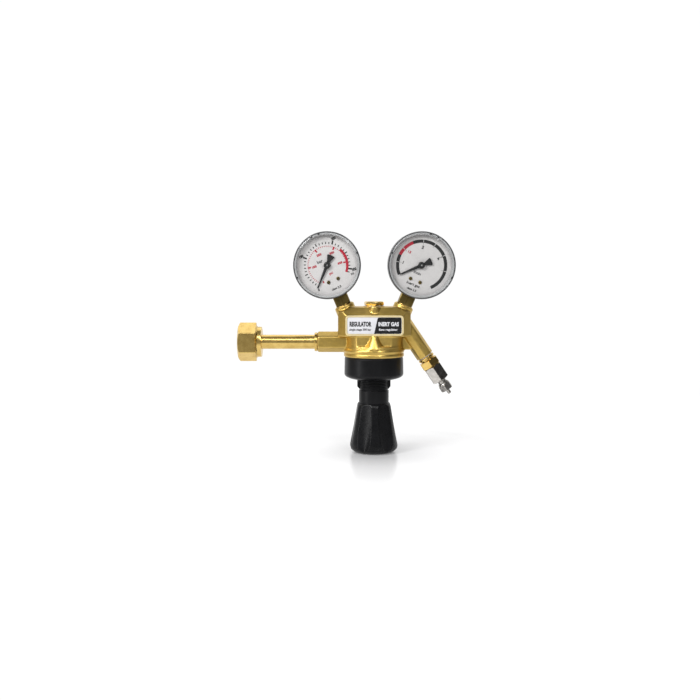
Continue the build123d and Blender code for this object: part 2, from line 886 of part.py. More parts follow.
    # Movement: two plates on pillars, with posts for the dial.
    with BuildPart() as movement_frame:
        for level in (-2.0, 6.5):
            with BuildSketch(face.offset(level)):
                with Locations((0, -7.0)):
                    RectangleRounded(16.0, 24.0, 1.5)
                Circle(0.65, mode=Mode.SUBTRACT)
                with Locations((0, -14)):
                    Circle(0.85, mode=Mode.SUBTRACT)
            extrude(amount=1.0)
        with BuildSketch(face.offset(-1.0)):
            with Locations((-6.4, 3.4), (6.4, 3.4), (-6.4, -17.3), (6.4, -17.3)):
                Circle(1.1)
        extrude(amount=7.5)
        with BuildSketch(face.offset(7.5)):
            with Locations(*screw_spots):
                Circle(1.8)
        extrude(amount=2.0)
        with BuildSketch(face.offset(6.0)):
            with Locations(*screw_spots):
                Circle(0.9)
        extrude(amount=4.0, mode=Mode.SUBTRACT)
    movement_frame.part.label = prefix + "_movement_frame"
    export_step(movement_frame.part, "parts/" + prefix + "_movement_frame.step")

    # Pinion on the pointer's arbor.
    pinion_angles = [number * 360 / PINION_TEETH for number in range(PINION_TEETH)]
    pinion_outline = teeth(PINION_R, pinion_angles)
    with BuildPart() as pinion:
        add(sleeve(depth, -2.0, 13.0, 0.6))
        with BuildSketch(face.offset(1.2)):
            with BuildLine():
                Polyline(*pinion_outline, close=True)
            make_face()
        extrude(amount=2.8)
    pinion.part.label = prefix + "_pinion"
    export_step(pinion.part, "parts/" + prefix + "_pinion.step")

    # Sector: turns a sixth as far as the pinion. A tooth faces the pinion's gap at rest, and the other
    # teeth run clockwise from it for the pointer's whole travel.
    sector_pivot = face.from_local_coords((0, -PINION_R - SECTOR_R, 0))
    sector_face = Plane(origin=sector_pivot, x_dir=right, z_dir=(0, -1, 0))
    sector_axis = Plane(origin=sector_pivot, x_dir=(0, -1, 0), z_dir=right)
    sector_edge = list(reversed(teeth(SECTOR_R, [30 + 6 * number for number in range(13)])))
    with BuildPart() as sector:
        with BuildSketch(sector_face.offset(2.0)):
            with BuildLine():
                Polyline((-1.5, 0.5), *sector_edge, (1.4, -0.8), close=True)
            make_face()
        extrude(amount=1.2)
        add(sleeve(sector_axis, 0.6, 4.6, 1.8))
        add(sleeve(sector_axis, -2.0, 7.5, 0.8))
    sector.part.label = prefix + "_sector"
    export_step(sector.part, "parts/" + prefix + "_sector.step")

    # Pointer: narrow tip, flared tail and a round hub. At rest it points to the start of the scale.
    zero = radians(90 + 135)
    along = Vector(cos(zero), sin(zero))
    side = Vector(-sin(zero), cos(zero))
    half_widths = [(-10.0, 3.4), (-8.6, 3.5), (-3.0, 1.3), (0, 1.2), (22.0, 0.25), (22.6, 0.05)]
    blade = []
    for reach, width in half_widths:
        blade.append(along * reach + side * width)
    for reach, width in reversed(half_widths):
        blade.append(along * reach - side * width)
    with BuildPart() as pointer:
        with BuildSketch(face.offset(11.7)):
            with BuildLine():
                Polyline(*[(p.X, p.Y) for p in blade], close=True)
            make_face()
        extrude(amount=0.5)
        add(
            turned(
                depth,
                [
                    (11.4, 0.6),
                    (11.4, 3.0),
                    (12.9, 3.0),
                    (13.4, 2.4),
                    (13.4, 0),
                    (13.0, 0),
                    (13.0, 0.6),
                ],
            )
        )
        add(sleeve(depth, 11.0, 13.0, 0.6), mode=Mode.SUBTRACT)
    pointer.part.label = prefix + "_pointer"
    export_step(pointer.part, "parts/" + prefix + "_pointer.step")


make_gauge("supply_gauge", SUPPLY_DOWN, (cos(LEAN), 0, sin(LEAN)))
make_gauge("flow_gauge", FLOW_DOWN, (cos(LEAN), 0, -sin(LEAN)))
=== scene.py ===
"""Looks for the gas regulator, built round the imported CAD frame. Lengths are in millimetres until
a mesh is made, and every piece rides on the CAD body it belongs to."""

import math

import bmesh
import bpy
import numpy as np
from mathutils import Matrix, Vector


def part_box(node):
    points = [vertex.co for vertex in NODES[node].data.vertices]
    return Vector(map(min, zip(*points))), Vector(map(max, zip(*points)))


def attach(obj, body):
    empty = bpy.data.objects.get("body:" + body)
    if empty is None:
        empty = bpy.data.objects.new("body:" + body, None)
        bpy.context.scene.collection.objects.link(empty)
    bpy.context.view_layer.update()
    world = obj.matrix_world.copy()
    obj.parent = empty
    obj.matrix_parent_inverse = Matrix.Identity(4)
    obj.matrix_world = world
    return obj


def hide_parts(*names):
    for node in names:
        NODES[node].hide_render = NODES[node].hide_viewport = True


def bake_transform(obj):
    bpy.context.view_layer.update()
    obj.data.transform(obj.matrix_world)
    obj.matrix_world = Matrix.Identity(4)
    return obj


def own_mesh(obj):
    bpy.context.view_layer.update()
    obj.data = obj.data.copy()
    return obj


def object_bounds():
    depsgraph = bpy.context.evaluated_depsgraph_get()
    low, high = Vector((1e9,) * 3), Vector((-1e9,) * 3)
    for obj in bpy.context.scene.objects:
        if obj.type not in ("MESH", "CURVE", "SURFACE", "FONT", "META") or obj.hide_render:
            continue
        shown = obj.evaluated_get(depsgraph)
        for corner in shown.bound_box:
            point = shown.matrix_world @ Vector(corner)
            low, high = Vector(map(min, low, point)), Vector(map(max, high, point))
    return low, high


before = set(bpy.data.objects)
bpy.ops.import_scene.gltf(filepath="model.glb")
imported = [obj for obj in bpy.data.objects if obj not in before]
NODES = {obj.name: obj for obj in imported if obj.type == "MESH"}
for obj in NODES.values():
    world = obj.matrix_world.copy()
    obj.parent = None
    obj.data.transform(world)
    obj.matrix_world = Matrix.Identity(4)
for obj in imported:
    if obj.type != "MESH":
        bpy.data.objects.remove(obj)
cad_lo, cad_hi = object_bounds()
MM = 0.001


# ---- places

def box_mm(node):
    """Lowest corner, highest corner and centre of a CAD node in millimetres."""
    lo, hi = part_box(node)
    lo, hi = lo / MM, hi / MM
    return lo, hi, (lo + hi) / 2


INLET_Z = box_mm("inlet_nut")[2].z
NUT_OUT = box_mm("inlet_nut")[0].x
NUT_BACK = box_mm("inlet_nut")[1].x
ARM_ANGLE = math.radians(56.0)
ARM_DIR = Vector((math.cos(ARM_ANGLE), 0, -math.sin(ARM_ANGLE)))
ARM_END = Vector((48.5, 0, 91.6))
FRONT = Vector((0, -1, 0))
# The gauges' centres, how far each leans outward, and how far the dial's face is from the centre.
GAUGE_X, GAUGE_Z = 44.0, 177.4
LEAN = math.radians(22.5)
SIN_L, COS_L = math.sin(LEAN), math.cos(LEAN)
DIAL_FACE = 10.3


class Axis:
    """A place with an axis: s runs along it, side is where angle 0 points."""

    def __init__(self, origin, along, side):
        self.origin = Vector(origin)
        self.along = Vector(along).normalized()
        self.side = Vector(side).normalized()
        self.third = self.along.cross(self.side)


UP = Axis((0, 0, 0), (0, 0, 1), FRONT)
INLET = Axis((0, 0, INLET_Z), (1, 0, 0), FRONT)
ARM = Axis(ARM_END, ARM_DIR, FRONT)
RELIEF = Axis((0, box_mm("relief_cap")[2].y, 0), (0, 0, 1), FRONT)


# ---- mesh helpers

def placed(name, data):
    """New object of a mesh, light, camera or text, linked into the scene."""
    obj = bpy.data.objects.new(name, data)
    bpy.context.scene.collection.objects.link(obj)
    return obj


def shade(mesh, sharp=None):
    """Smooth shading, with the edges over sharp degrees kept crisp."""
    mesh.polygons.foreach_set("use_smooth", [True] * len(mesh.polygons))
    if sharp:
        mesh.set_sharp_from_angle(angle=math.radians(sharp))


def soften(points, radius, closed=True):
    """Rounds the corners of a profile, each with a short curve of four steps."""
    out = []
    count = len(points)
    nearly_straight = math.radians(172)
    for i, point in enumerate(points):
        here = np.array(point[:2], float)
        limit = point[2] if len(point) > 2 else radius
        before = np.array(points[i - 1][:2], float)
        after = np.array(points[(i + 1) % count][:2], float)
        back, on = before - here, after - here
        len_b, len_o = np.linalg.norm(back), np.linalg.norm(on)
        free_end = not closed and i in (0, count - 1)
        if free_end or limit <= 0 or min(len_b, len_o) < 1e-6:
            out.append(tuple(here))
            continue
        back, on = back / len_b, on / len_o
        turn = math.acos(max(-1.0, min(1.0, float(back @ on))))
        if turn > nearly_straight:
            out.append(tuple(here))
            continue
        cut = min(limit / math.tan(turn / 2), 0.45 * len_b, 0.45 * len_o)
        for t in (0, 0.25, 0.5, 0.75, 1.0):
            a, b, c = (1 - t) ** 2, 2 * t * (1 - t), t * t
            out.append(tuple(a * (here + back * cut) + b * here + c * (here + on * cut)))
    return out


def polygon_radius(angle, apothem, sides, phase, corner):
    """Radius of a regular polygon with rounded corners. A corner stands at angle phase."""
    half = math.pi / sides
    step = (angle - phase) % (2 * half)
    off_corner = min(step, 2 * half - step)
    centre = (apothem - corner) / math.cos(half)
    switch = math.atan2(corner * math.sin(half), centre + corner * math.cos(half))
    if off_corner < switch:
        across = centre * math.sin(off_corner)
        return centre * math.cos(off_corner) + math.sqrt(max(0.0, corner**2 - across**2))
    return apothem / math.cos(half - off_corner)


def turn_angles(sides=0, phase=0.0, steps=128):
    """Angles round an axis, with extra ones at each rounded corner of a polygon."""
    if not sides:
        return [2 * math.pi * k / steps for k in range(steps)]
    offsets = [0, 0.8, 1.6, 2.6, 4.0, 7.0]
    side = 360 / sides
    fine = [o for o in offsets if o < side / 2]
    spread = sorted(set(fine + [side - o for o in fine[1:]] + list(np.arange(10, side - 9, 4.0))))
    return [phase + math.radians(k * side + o) for k in range(sides) for o in spread]


def new_object(name, verts, faces, sharp=32):
    """Mesh object from points in millimetres, with outward normals and smooth shading."""
    mesh = bpy.data.meshes.new(name)
    mesh.from_pydata([tuple(Vector(v) * MM) for v in verts], [], faces)
    tidy = bmesh.new()
    tidy.from_mesh(mesh)
    bmesh.ops.remove_doubles(tidy, verts=tidy.verts, dist=1e-7)
    bmesh.ops.recalc_face_normals(tidy, faces=tidy.faces)
    tidy.to_mesh(mesh)
    tidy.free()
    shade(mesh, sharp)
    return placed(name, mesh)


def bands(count, rows, loop=False):
    """Quads between rows of count points each, and back to the first row in a loop."""
    faces = []
    for row in range(rows if loop else rows - 1):
        low, high = row * count, (row + 1) % rows * count
        for j in range(count):
            k = (j + 1) % count
            faces.append([low + j, low + k, high + k, high + j])
    return faces


def skin(axis, angles, rows, loop):
    """Points and faces through rows round an axis. A row is (s, r), each a number or a list."""
    verts, faces, rings = [], [], []
    count = len(angles)
    dirs = [axis.side * math.cos(a) + axis.third * math.sin(a) for a in angles]
    for s, r in rows:
        s = s if isinstance(s, (list, np.ndarray)) else [s] * count
        r = r if isinstance(r, (list, np.ndarray)) else [r] * count
        if max(r) < 1e-9:
            verts.append(axis.origin + axis.along * s[0])
            rings.append([len(verts) - 1] * count)
            continue
        start = len(verts)
        verts += [axis.origin + axis.along * s[j] + dirs[j] * r[j] for j in range(count)]
        rings.append(list(range(start, start + count)))
    pairs = list(zip(rings[:-1], rings[1:]))
    if loop:
        pairs.append((rings[-1], rings[0]))
    for low, high in pairs:
        for j in range(count):
            k = (j + 1) % count
            face = []
            for v in (low[j], low[k], high[k], high[j]):
                if v not in face:
                    face.append(v)
            if len(face) > 2:
                faces.append(face)
    return verts, faces


def lathe(name, axis, points, radius, steps=128, sharp=32):
    """Solid of revolution of a profile of (s, r) points. Corners are rounded to the radius, or to a
    point's own third number. A profile that touches the axis is open there, any other is a loop."""
    touches = points[0][1] < 1e-9 and points[-1][1] < 1e-9
    rows = soften(points, radius, closed=not touches)
    verts, faces = skin(axis, turn_angles(steps=steps), rows, loop=not touches)
    return new_object(name, verts, faces, sharp)


def section(start, end, inner, outer):
    """Rectangular profile between two places on an axis and two radii."""
    return [(start, inner), (start, outer), (end, outer), (end, inner)]


def bar(name, axis, start, end, flats, sides, corner, phase=0.0, hole=None, low=True, slope=30.0,
        face_share=0.97):
    """Hexagonal or square bar with rounded edges. Its corners are turned off at the end and, with
    low, at the start."""
    edge = 0.2
    angles = turn_angles(sides, phase)
    apothem = flats / 2
    outline = np.array([polygon_radius(a, apothem, sides, phase, corner) for a in angles])
    face_r = apothem * face_share
    drop = np.maximum(outline - face_r, 0) * math.tan(math.radians(slope))
    inner = 0.0 if hole is None else hole
    rows = [(start, inner)]
    if low:
        rows += [(start, face_r - edge), (start, np.minimum(outline, face_r))]
        rows += [(start + drop, outline), (start + drop + 2 * edge, outline)]
    else:
        nick = edge * 0.3
        rows += [(start, outline - edge), (start + nick, outline - nick), (start + edge, outline)]
    rows += [(end - drop - 2 * edge, outline), (end - drop, outline)]
    rows += [(end, np.minimum(outline, face_r)), (end, face_r - edge), (end, inner)]
    verts, faces = skin(axis, angles, rows, loop=hole is not None)
    return new_object(name, verts, faces)


def bevel(whole, edges, width, segments=3):
    """Rounds edges of a mesh that is being built, width in millimetres."""
    size = width * MM
    bmesh.ops.bevel(whole, geom=edges, offset=size, segments=segments, profile=0.5, affect="EDGES")


def settled(name, whole, sharp=None):
    """Object of a mesh that has been built, shaded again where sharp is given."""
    mesh = bpy.data.meshes.new(name)
    whole.to_mesh(mesh)
    whole.free()
    if sharp:
        shade(mesh, sharp)
    return placed(name, mesh)


def join(name, *objects):
    """One object of several meshes."""
    whole = bmesh.new()
    for obj in objects:
        whole.from_mesh(obj.data)
        bpy.data.objects.remove(obj)
    return settled(name, whole)


def rounded_box(name, low, high, edge):
    """Box with rounded edges, between two corners in millimetres."""
    low, high = Vector(low), Vector(high)
    whole = bmesh.new()
    bmesh.ops.create_cube(whole, size=1.0)
    for v in whole.verts:
        v.co = Vector((low[i] + (v.co[i] + 0.5) * (high[i] - low[i])) * MM for i in range(3))
    bevel(whole, whole.edges[:], edge)
    return settled(name, whole, 40)


def piece(obj, material, slot, *nodes, body="body"):
    """Paints a piece, rides it on its body and hides the CAD nodes it stands for."""
    obj.data.materials.clear()
    obj.data.materials.append(material)
    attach(obj, body)
    if nodes:
        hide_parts(*nodes)


def turned(name, axis, points, radius, material, slot, *nodes, body="body", steps=128):
    """Piece turned to one profile."""
    piece(lathe(name, axis, points, radius, steps), material, slot, *nodes, body=body)


# ---- materials

class Paint:
    """Node tree of one material, with short calls for the nodes used here."""

    def __init__(self, name):
        self.material = bpy.data.materials.new(name)
        self.material.use_nodes = True
        self.tree = self.material.node_tree
        self.shader = self.tree.nodes["Principled BSDF"]
        self.coords = self.node("TexCoord").outputs["Object"]

    def set(self, **values):
        for key, value in values.items():
            self.shader.inputs[key.replace("_", " ")].default_value = value
        return self

    def link(self, source, key):
        self.feed(self.shader.inputs[key], source)

    def feed(self, socket, value):
        """Gives an input a value or another node's output."""
        if isinstance(value, bpy.types.NodeSocket):
            self.tree.links.new(value, socket)
        else:
            socket.default_value = value

    def node(self, kind, **inputs):
        made = self.tree.nodes.new("ShaderNode" + kind)
        for key, value in inputs.items():
            self.feed(made.inputs[key.replace("_", " ")], value)
        return made

    def stretched(self, scale):
        return self.node("Mapping", Vector=self.coords, Scale=scale).outputs["Vector"]

    def noise(self, size_mm, detail=2.0, rough=0.5, vector=None):
        """Noise whose blotches are about size_mm across."""
        kind = {"Scale": 1 / (size_mm * MM), "Detail": detail, "Roughness": rough}
        return self.node("TexNoise", Vector=vector or self.coords, **kind).outputs["Fac"]

    def spread(self, source, low, high, start=0.3, end=0.7):
        """Maps a factor from start to end onto low to high."""
        ends = {"From_Min": start, "From_Max": end, "To_Min": low, "To_Max": high}
        return self.node("MapRange", Value=source, **ends).outputs["Result"]

    def blend(self, factor, first, second):
        made = self.node("Mix", Factor=factor)
        made.data_type = "RGBA"
        for key, value in (("A", first), ("B", second)):
            socket = [i for i in made.inputs if i.name == key and i.type == "RGBA"][0]
            self.feed(socket, (*value, 1.0) if isinstance(value, (tuple, list)) else value)
        return [o for o in made.outputs if o.type == "RGBA"][0]

    def math(self, operation, first, second):
        made = self.node("Math")
        made.operation = operation
        self.feed(made.inputs[0], first)
        self.feed(made.inputs[1], second)
        return made.outputs["Value"]

    def cloudy(self, cloud, dark, light):
        """Base colour that drifts from dark to light."""
        self.link(self.blend(self.spread(cloud, 0, 1), dark, light), "Base Color")

    def worn_edges(self, high, start, end):
        """Runs from 0 to high where the surface turns outward. Pointiness is 0.5 on the flat."""
        return self.spread(self.node("NewGeometry").outputs["Pointiness"], 0, high, start, end)

    def bump(self, height, distance_mm, strength, after=None):
        """Relief distance_mm deep, laid over another bump where one is given."""
        more = {"Normal": after} if after else {}
        depth = distance_mm * MM
        made = self.node("Bump", Strength=strength, Distance=depth, Height=height, **more)
        return made.outputs["Normal"]

    def show(self, *shaders, factor=None):
        """Gives the material's output one shader, or two mixed by a factor."""
        out = shaders[0].outputs[0]
        if factor:
            mix = self.node("MixShader", Fac=factor)
            for socket, shader in zip(mix.inputs[1:], shaders):
                self.feed(socket, shader.outputs[0])
            out = mix.outputs["Shader"]
        self.feed(self.tree.nodes["Material Output"].inputs["Surface"], out)
        return self.material


def forged_brass():
    """Hot-forged, blasted brass: fine pitted grain, broad changes of tone and rubbed edges."""
    paint = Paint("forged_brass").set(Metallic=1.0)
    broad = paint.noise(14, 3)
    grain = paint.noise(0.45, 4, 0.6)
    tone = paint.blend(paint.spread(broad, 0, 1), (0.51, 0.35, 0.084), (0.67, 0.47, 0.132))
    tone = paint.blend(paint.spread(grain, 0.0, 0.35, 0.35, 0.75), tone, (0.36, 0.23, 0.06))
    edge = paint.worn_edges(0.7, 0.51, 0.58)
    paint.link(paint.blend(edge, tone, (0.86, 0.65, 0.27)), "Base Color")
    paint.link(paint.spread(paint.noise(1.6, 4), 0.30, 0.46), "Roughness")
    fine = paint.bump(grain, 0.035, 0.9)
    paint.link(paint.bump(paint.noise(3.5, 2), 0.10, 0.6, fine), "Normal")
    return paint.material


def turned_brass(name, along, dark=(0.60, 0.40, 0.115), light=(0.78, 0.56, 0.19),
                 rough=(0.235, 0.27)):
    """Brass turned from bar: fine rings across the axis, faint tarnish and small scratches."""
    paint = Paint(name).set(Metallic=1.0)
    stretch = [1.0 if abs(part) > 0.5 else 0.06 for part in along]
    rings = paint.noise(0.16, 1, 0.5, paint.stretched(stretch))
    tarnish = paint.noise(7, 4, 0.6)
    scratch = paint.noise(0.5, 2, 0.5, paint.stretched((1.0, 0.12, 0.5)))
    tone = paint.blend(paint.spread(tarnish, 0, 1), dark, light)
    edge = paint.worn_edges(0.6, 0.52, 0.62)
    paint.link(paint.blend(edge, tone, (0.92, 0.72, 0.33)), "Base Color")
    worn = paint.math("MULTIPLY", tarnish, scratch)
    paint.link(paint.spread(worn, *rough, 0.15, 0.40), "Roughness")
    paint.link(paint.bump(rings, 0.0015, 0.15, paint.bump(scratch, 0.001, 0.15)), "Normal")
    return paint.material


def nickel():
    """Nickel plate over brass, semi-bright, with a warm cast and a little haze."""
    paint = Paint("nickel_plate").set(Metallic=1.0)
    haze = paint.noise(3, 4, 0.6)
    paint.cloudy(haze, (0.36, 0.345, 0.32), (0.50, 0.48, 0.45))
    paint.link(paint.spread(haze, 0.17, 0.24), "Roughness")
    paint.link(paint.bump(paint.noise(0.35, 2), 0.004, 0.5), "Normal")
    return paint.material


def steel(name, tone=(0.55, 0.55, 0.56), rough=0.3):
    """Bright or dull steel and light alloy with a cloudy tone."""
    paint = Paint(name).set(Metallic=1.0)
    cloud = paint.noise(2.5, 4)
    paint.cloudy(cloud, [c * 0.78 for c in tone], tone)
    paint.link(paint.spread(cloud, rough, rough + 0.14), "Roughness")
    paint.link(paint.bump(paint.noise(0.25, 2), 0.006, 0.5), "Normal")
    return paint.material


def black_plastic(name, low=0.28, high=0.42):
    """Moulded black plastic: fine spark-eroded texture and a faint change of tone."""
    paint = Paint(name).set(Specular_IOR_Level=0.2)
    tone = (0.0028, 0.0029, 0.0034)
    paint.cloudy(paint.noise(11, 3), tone, [c * 1.9 for c in tone])
    paint.link(paint.spread(paint.noise(2.2, 4), low, high), "Roughness")
    fine = paint.bump(paint.noise(0.28, 3, 0.6), 0.012, 0.55)
    paint.link(paint.bump(paint.noise(5, 1), 0.05, 0.25, fine), "Normal")
    return paint.material


def plain(name, tone, rough, grain_mm=0.6, depth_mm=0.004, vary=0.12):
    """Painted, printed or moulded surface with a slight mottle in tone and gloss."""
    paint = Paint(name)
    mottle = paint.noise(grain_mm * 6, 3)
    paint.cloudy(mottle, [c * (1 - vary) for c in tone], tone)
    paint.link(paint.spread(mottle, rough, rough + 0.12), "Roughness")
    paint.link(paint.bump(paint.noise(grain_mm, 2), depth_mm, 0.6), "Normal")
    return paint.material


def clear_cover():
    """Thin clear cover: lets everything through and mirrors the lamps, with faint wipe marks."""
    paint = Paint("clear_window")
    paint.tree.nodes.remove(paint.shader)
    clear = paint.node("BsdfTransparent", Color=(0.985, 0.99, 0.985, 1.0))
    gloss = paint.node("BsdfGlossy", Roughness=paint.spread(paint.noise(6.25, 4), 0.11, 0.125))
    # The share mirrored grows towards the rim of sight, the same from either face.
    facing = paint.node("LayerWeight", Blend=0.5).outputs["Facing"]
    mirrored = paint.spread(paint.math("POWER", facing, 5.0), 0.015, 1.0, 0, 1)
    return paint.show(clear, gloss, factor=mirrored)


FORGED = forged_brass()
TURNED_X = turned_brass("turned_brass_x", (1, 0, 0))
TURNED_Z = turned_brass("turned_brass_z", (0, 0, 1))
TURNED_ARM = turned_brass("turned_brass_arm", ARM_DIR)
SOCKET = turned_brass("socket_brass", (0, 0, 1), (0.13, 0.095, 0.026), (0.23, 0.165, 0.048),
                      (0.30, 0.42))
NICKEL = nickel()
STEEL = steel("bright_steel")
SPRING = steel("spring_steel", (0.38, 0.39, 0.41), 0.25)
ALLOY = steel("light_alloy", (0.80, 0.80, 0.81), 0.28)
CASE = steel("case_metal", (0.13, 0.13, 0.135), 0.26)
BLACK = black_plastic("black_plastic")
KNOB_BLACK = black_plastic("knob_plastic", 0.24, 0.36)
CAP_BLACK = black_plastic("cap_plastic", 0.35, 0.5)
RUBBER = plain("diaphragm_rubber", (0.03, 0.03, 0.03), 0.6, 0.4, 0.01)
SEAL = plain("seal_plastic", (0.72, 0.69, 0.60), 0.4)
DIAL = plain("dial_white", (0.60, 0.575, 0.58), 0.42, 0.9, 0.002, 0.05)
# Black of the prints, also used as painted shade in the screw slots.
PRINT_AND_SHADE_BLACK = plain("print_and_shade_black", (0.006, 0.006, 0.007), 0.5)
PRINT_RED = plain("print_red", (0.42, 0.004, 0.025), 0.5)
PRINT_GREY = plain("print_grey", (0.06, 0.06, 0.065), 0.45)
POINTER = plain("pointer_black", (0.010, 0.010, 0.011), 0.35)
LABEL_WHITE = plain("label_white", (0.66, 0.66, 0.69), 0.28, 1.0, 0.002, 0.04)
LABEL_BLACK = plain("label_black", (0.008, 0.008, 0.009), 0.22)
LABEL_EDGE = plain("label_edge", (0.66, 0.55, 0.30), 0.3)
WINDOW = clear_cover()
# Mid grey of the collar under the window's rim: painted shade for the darker ring at the window's
# edge.
SKIRT_SHADE = plain("window_skirt_shade", (0.42, 0.42, 0.43), 0.30, 2.0, 0.001, 0.15)


# ---- forged body

def foot_of_rib():
    """Half-round cone that runs out from the front wall onto the flange."""
    verts = []
    # Height, half width and reach forward at each level.
    levels = [(99.6, 12.2, 10.9), (100.6, 10.8, 10.6), (102.0, 9.4, 10.1), (104.0, 7.9, 9.3),
              (106.5, 6.4, 8.2), (109.0, 5.1, 7.0), (111.8, 4.0, 5.7)]
    count, wall_y = 40, -17.9
    for z, half_width, reach in levels:
        for k in range(count):
            a = 2 * math.pi * k / count
            verts.append(Vector((half_width * math.cos(a), wall_y + reach * math.sin(a), z)))
    faces = bands(count, len(levels))
    faces.append(list(range(count)))
    faces.append([(len(levels) - 1) * count + k for k in range(count)])
    return new_object("rib_foot", verts, faces, 40)


def forged_body():
    """The forging, rounded all over: the CAD body made solid inside, remeshed and smoothed."""
    source = NODES["valve_body"]
    solid = bmesh.new()
    solid.from_mesh(source.data)
    solid.transform(source.matrix_world)
    bmesh.ops.remove_doubles(solid, verts=solid.verts, dist=1e-6)
    # Fillers close the bores, which no one sees behind the plug, fittings and diaphragm.
    chamber = [(94.0, 0), (94.0, 24.5), (99.4, 24.5), (104, 8.0), (138.5, 8.0), (138.5, 0)]
    fillers = [
        lathe("fill_up", UP, chamber, 0),
        lathe("fill_inlet", INLET, section(-52.4, -3.0, 0, 7.2), 0),
        lathe("fill_arm", ARM, section(-18, -0.7, 0, 6.0), 0),
    ]
    for sign in (1, -1):
        port = Axis((-sign * GAUGE_X, 0, GAUGE_Z), (sign * SIN_L, 0, -COS_L), FRONT)
        fillers.append(lathe("fill_port", port, section(41.4, 62, 0, 7.2), 0))
    # The rib under the label spreads into the flange.
    fillers.append(foot_of_rib())
    for filler in fillers:
        solid.from_mesh(filler.data)
        bpy.data.objects.remove(filler)
    mesh = bpy.data.meshes.new("forged_body")
    solid.to_mesh(mesh)
    solid.free()
    rough = placed("forged_rough", mesh)
    remesh = rough.modifiers.new("remesh", "REMESH")
    remesh.mode = "VOXEL"
    remesh.voxel_size = 0.52 * MM
    remesh.use_smooth_shade = True
    smooth = rough.modifiers.new("smooth", "SMOOTH")
    smooth.factor = 0.5
    smooth.iterations = 7
    evaluated = rough.evaluated_get(bpy.context.evaluated_depsgraph_get())
    final = bpy.data.meshes.new_from_object(evaluated)
    bpy.data.objects.remove(rough)
    final.name = "forged_body"
    shade(final)
    return placed("forged_body", final)


piece(forged_body(), FORGED, "forged_brass", "valve_body")


# ---- flat shapes and print

def rounded_rect(width, height, radius):
    """Corner-rounded rectangle about the origin, anticlockwise."""
    points = []
    steps = 8
    for k, (sx, sy) in enumerate(((1, -1), (1, 1), (-1, 1), (-1, -1))):
        cx, cy = sx * (width / 2 - radius), sy * (height / 2 - radius)
        for i in range(steps + 1):
            a = math.radians(-90 + 90 * k + 90 * i / steps)
            points.append((cx + radius * math.cos(a), cy + radius * math.sin(a)))
    return points


class Sheet:
    """Flat shapes gathered into one mesh, each on its own level above a face."""

    def __init__(self, origin, right, up):
        self.origin, self.right, self.up = Vector(origin), Vector(right), Vector(up)
        self.out = self.right.cross(self.up)
        self.verts, self.faces = [], []

    def point(self, x, y, level):
        return self.origin + self.right * x + self.up * y + self.out * level

    def shape(self, points, level):
        start = len(self.verts)
        self.verts += [self.point(x, y, level) for x, y in points]
        self.faces.append(list(range(start, start + len(points))))

    def arc(self, inner, outer, start, end, level=0.04):
        """Band between two radii, its angles clockwise from the top in degrees."""
        steps = max(1, int(abs(end - start) / 2))
        for i in range(steps):
            a = math.radians(start + (end - start) * i / steps)
            b = math.radians(start + (end - start) * (i + 1) / steps)
            corners = ((inner, a), (outer, a), (outer, b), (inner, b))
            self.shape([(r * math.sin(t), r * math.cos(t)) for r, t in corners], level)

    def tick(self, angle, inner, outer, width, level=0.05):
        a = math.radians(angle)
        along, across = Vector((math.sin(a), math.cos(a))), Vector((math.cos(a), -math.sin(a)))
        half = width / 2
        corners = ((inner, -half), (inner, half), (outer, half), (outer, -half))
        self.shape([tuple(along * r + across * w) for r, w in corners], level)

    def text(self, words, x, y, size, bold=0.0, wide=1.0, fit=None, level=0.05):
        """Centred lettering with capitals about 0.7 of size high, fit being its whole width."""
        curve = bpy.data.curves.new("lettering", "FONT")
        curve.body = words
        curve.size = 1.0
        curve.align_x = "CENTER"
        curve.align_y = "CENTER"
        curve.offset = bold
        curve.resolution_u = 3
        writer = placed("lettering", curve)
        written = writer.evaluated_get(bpy.context.evaluated_depsgraph_get())
        mesh = bpy.data.meshes.new_from_object(written)
        bpy.data.objects.remove(writer)
        if fit:
            across = [v.co.x for v in mesh.vertices]
            wide = fit / size / (max(across) - min(across))
        start = len(self.verts)
        for v in mesh.vertices:
            self.verts.append(self.point(x + v.co.x * size * wide, y + v.co.y * size, level))
        self.faces += [[start + i for i in p.vertices] for p in mesh.polygons]
        bpy.data.meshes.remove(mesh)

    def polar_text(self, words, radius, angle, size, **style):
        a = math.radians(angle)
        self.text(words, radius * math.sin(a), radius * math.cos(a), size, **style)

    def build(self, name):
        mesh = bpy.data.meshes.new(name)
        mesh.from_pydata([tuple(v * MM) for v in self.verts], [], self.faces)
        whole = bmesh.new()
        whole.from_mesh(mesh)
        bmesh.ops.remove_doubles(whole, verts=whole.verts, dist=1e-7)
        for face in whole.faces:
            face.normal_update()
            if face.normal.dot(self.out) < 0:
                face.normal_flip()
        whole.to_mesh(mesh)
        whole.free()
        return placed(name, mesh)


def slab(name, sheet, outline, low, high, edge):
    """Plate of an outline between two levels over a sheet's plane, its front edge rounded."""
    whole = bmesh.new()
    bottom = [whole.verts.new(sheet.point(x, y, low) * MM) for x, y in outline]
    face = whole.faces.new(bottom)
    grown = bmesh.ops.extrude_face_region(whole, geom=[face])
    top = [g for g in grown["geom"] if isinstance(g, bmesh.types.BMVert)]
    for v in top:
        v.co += sheet.out * (high - low) * MM
    top_edges = [g for g in grown["geom"] if isinstance(g, bmesh.types.BMEdge)]
    bevel(whole, top_edges, edge)
    bmesh.ops.recalc_face_normals(whole, faces=whole.faces)
    return settled(name, whole, 35)


# ---- label

label_lo, _, label_middle = box_mm("label_plate")


def label_sheet():
    return Sheet((0, label_lo.y, label_middle.z), (1, 0, 0), (0, 0, 1))


def rim_of(name, outer, inner, low, high):
    """Raised rim between two outlines with the same number of points."""
    sheet = label_sheet()
    lift = 0.12
    levels = [(outer, low), (outer, high - lift), (shrunk(outer, lift), high),
              (shrunk(inner, -lift), high), (inner, high - lift), (inner, low)]
    verts = [sheet.point(x, y, level) for outline, level in levels for x, y in outline]
    return new_object(name, verts, bands(len(outer), len(levels), loop=True), 40)


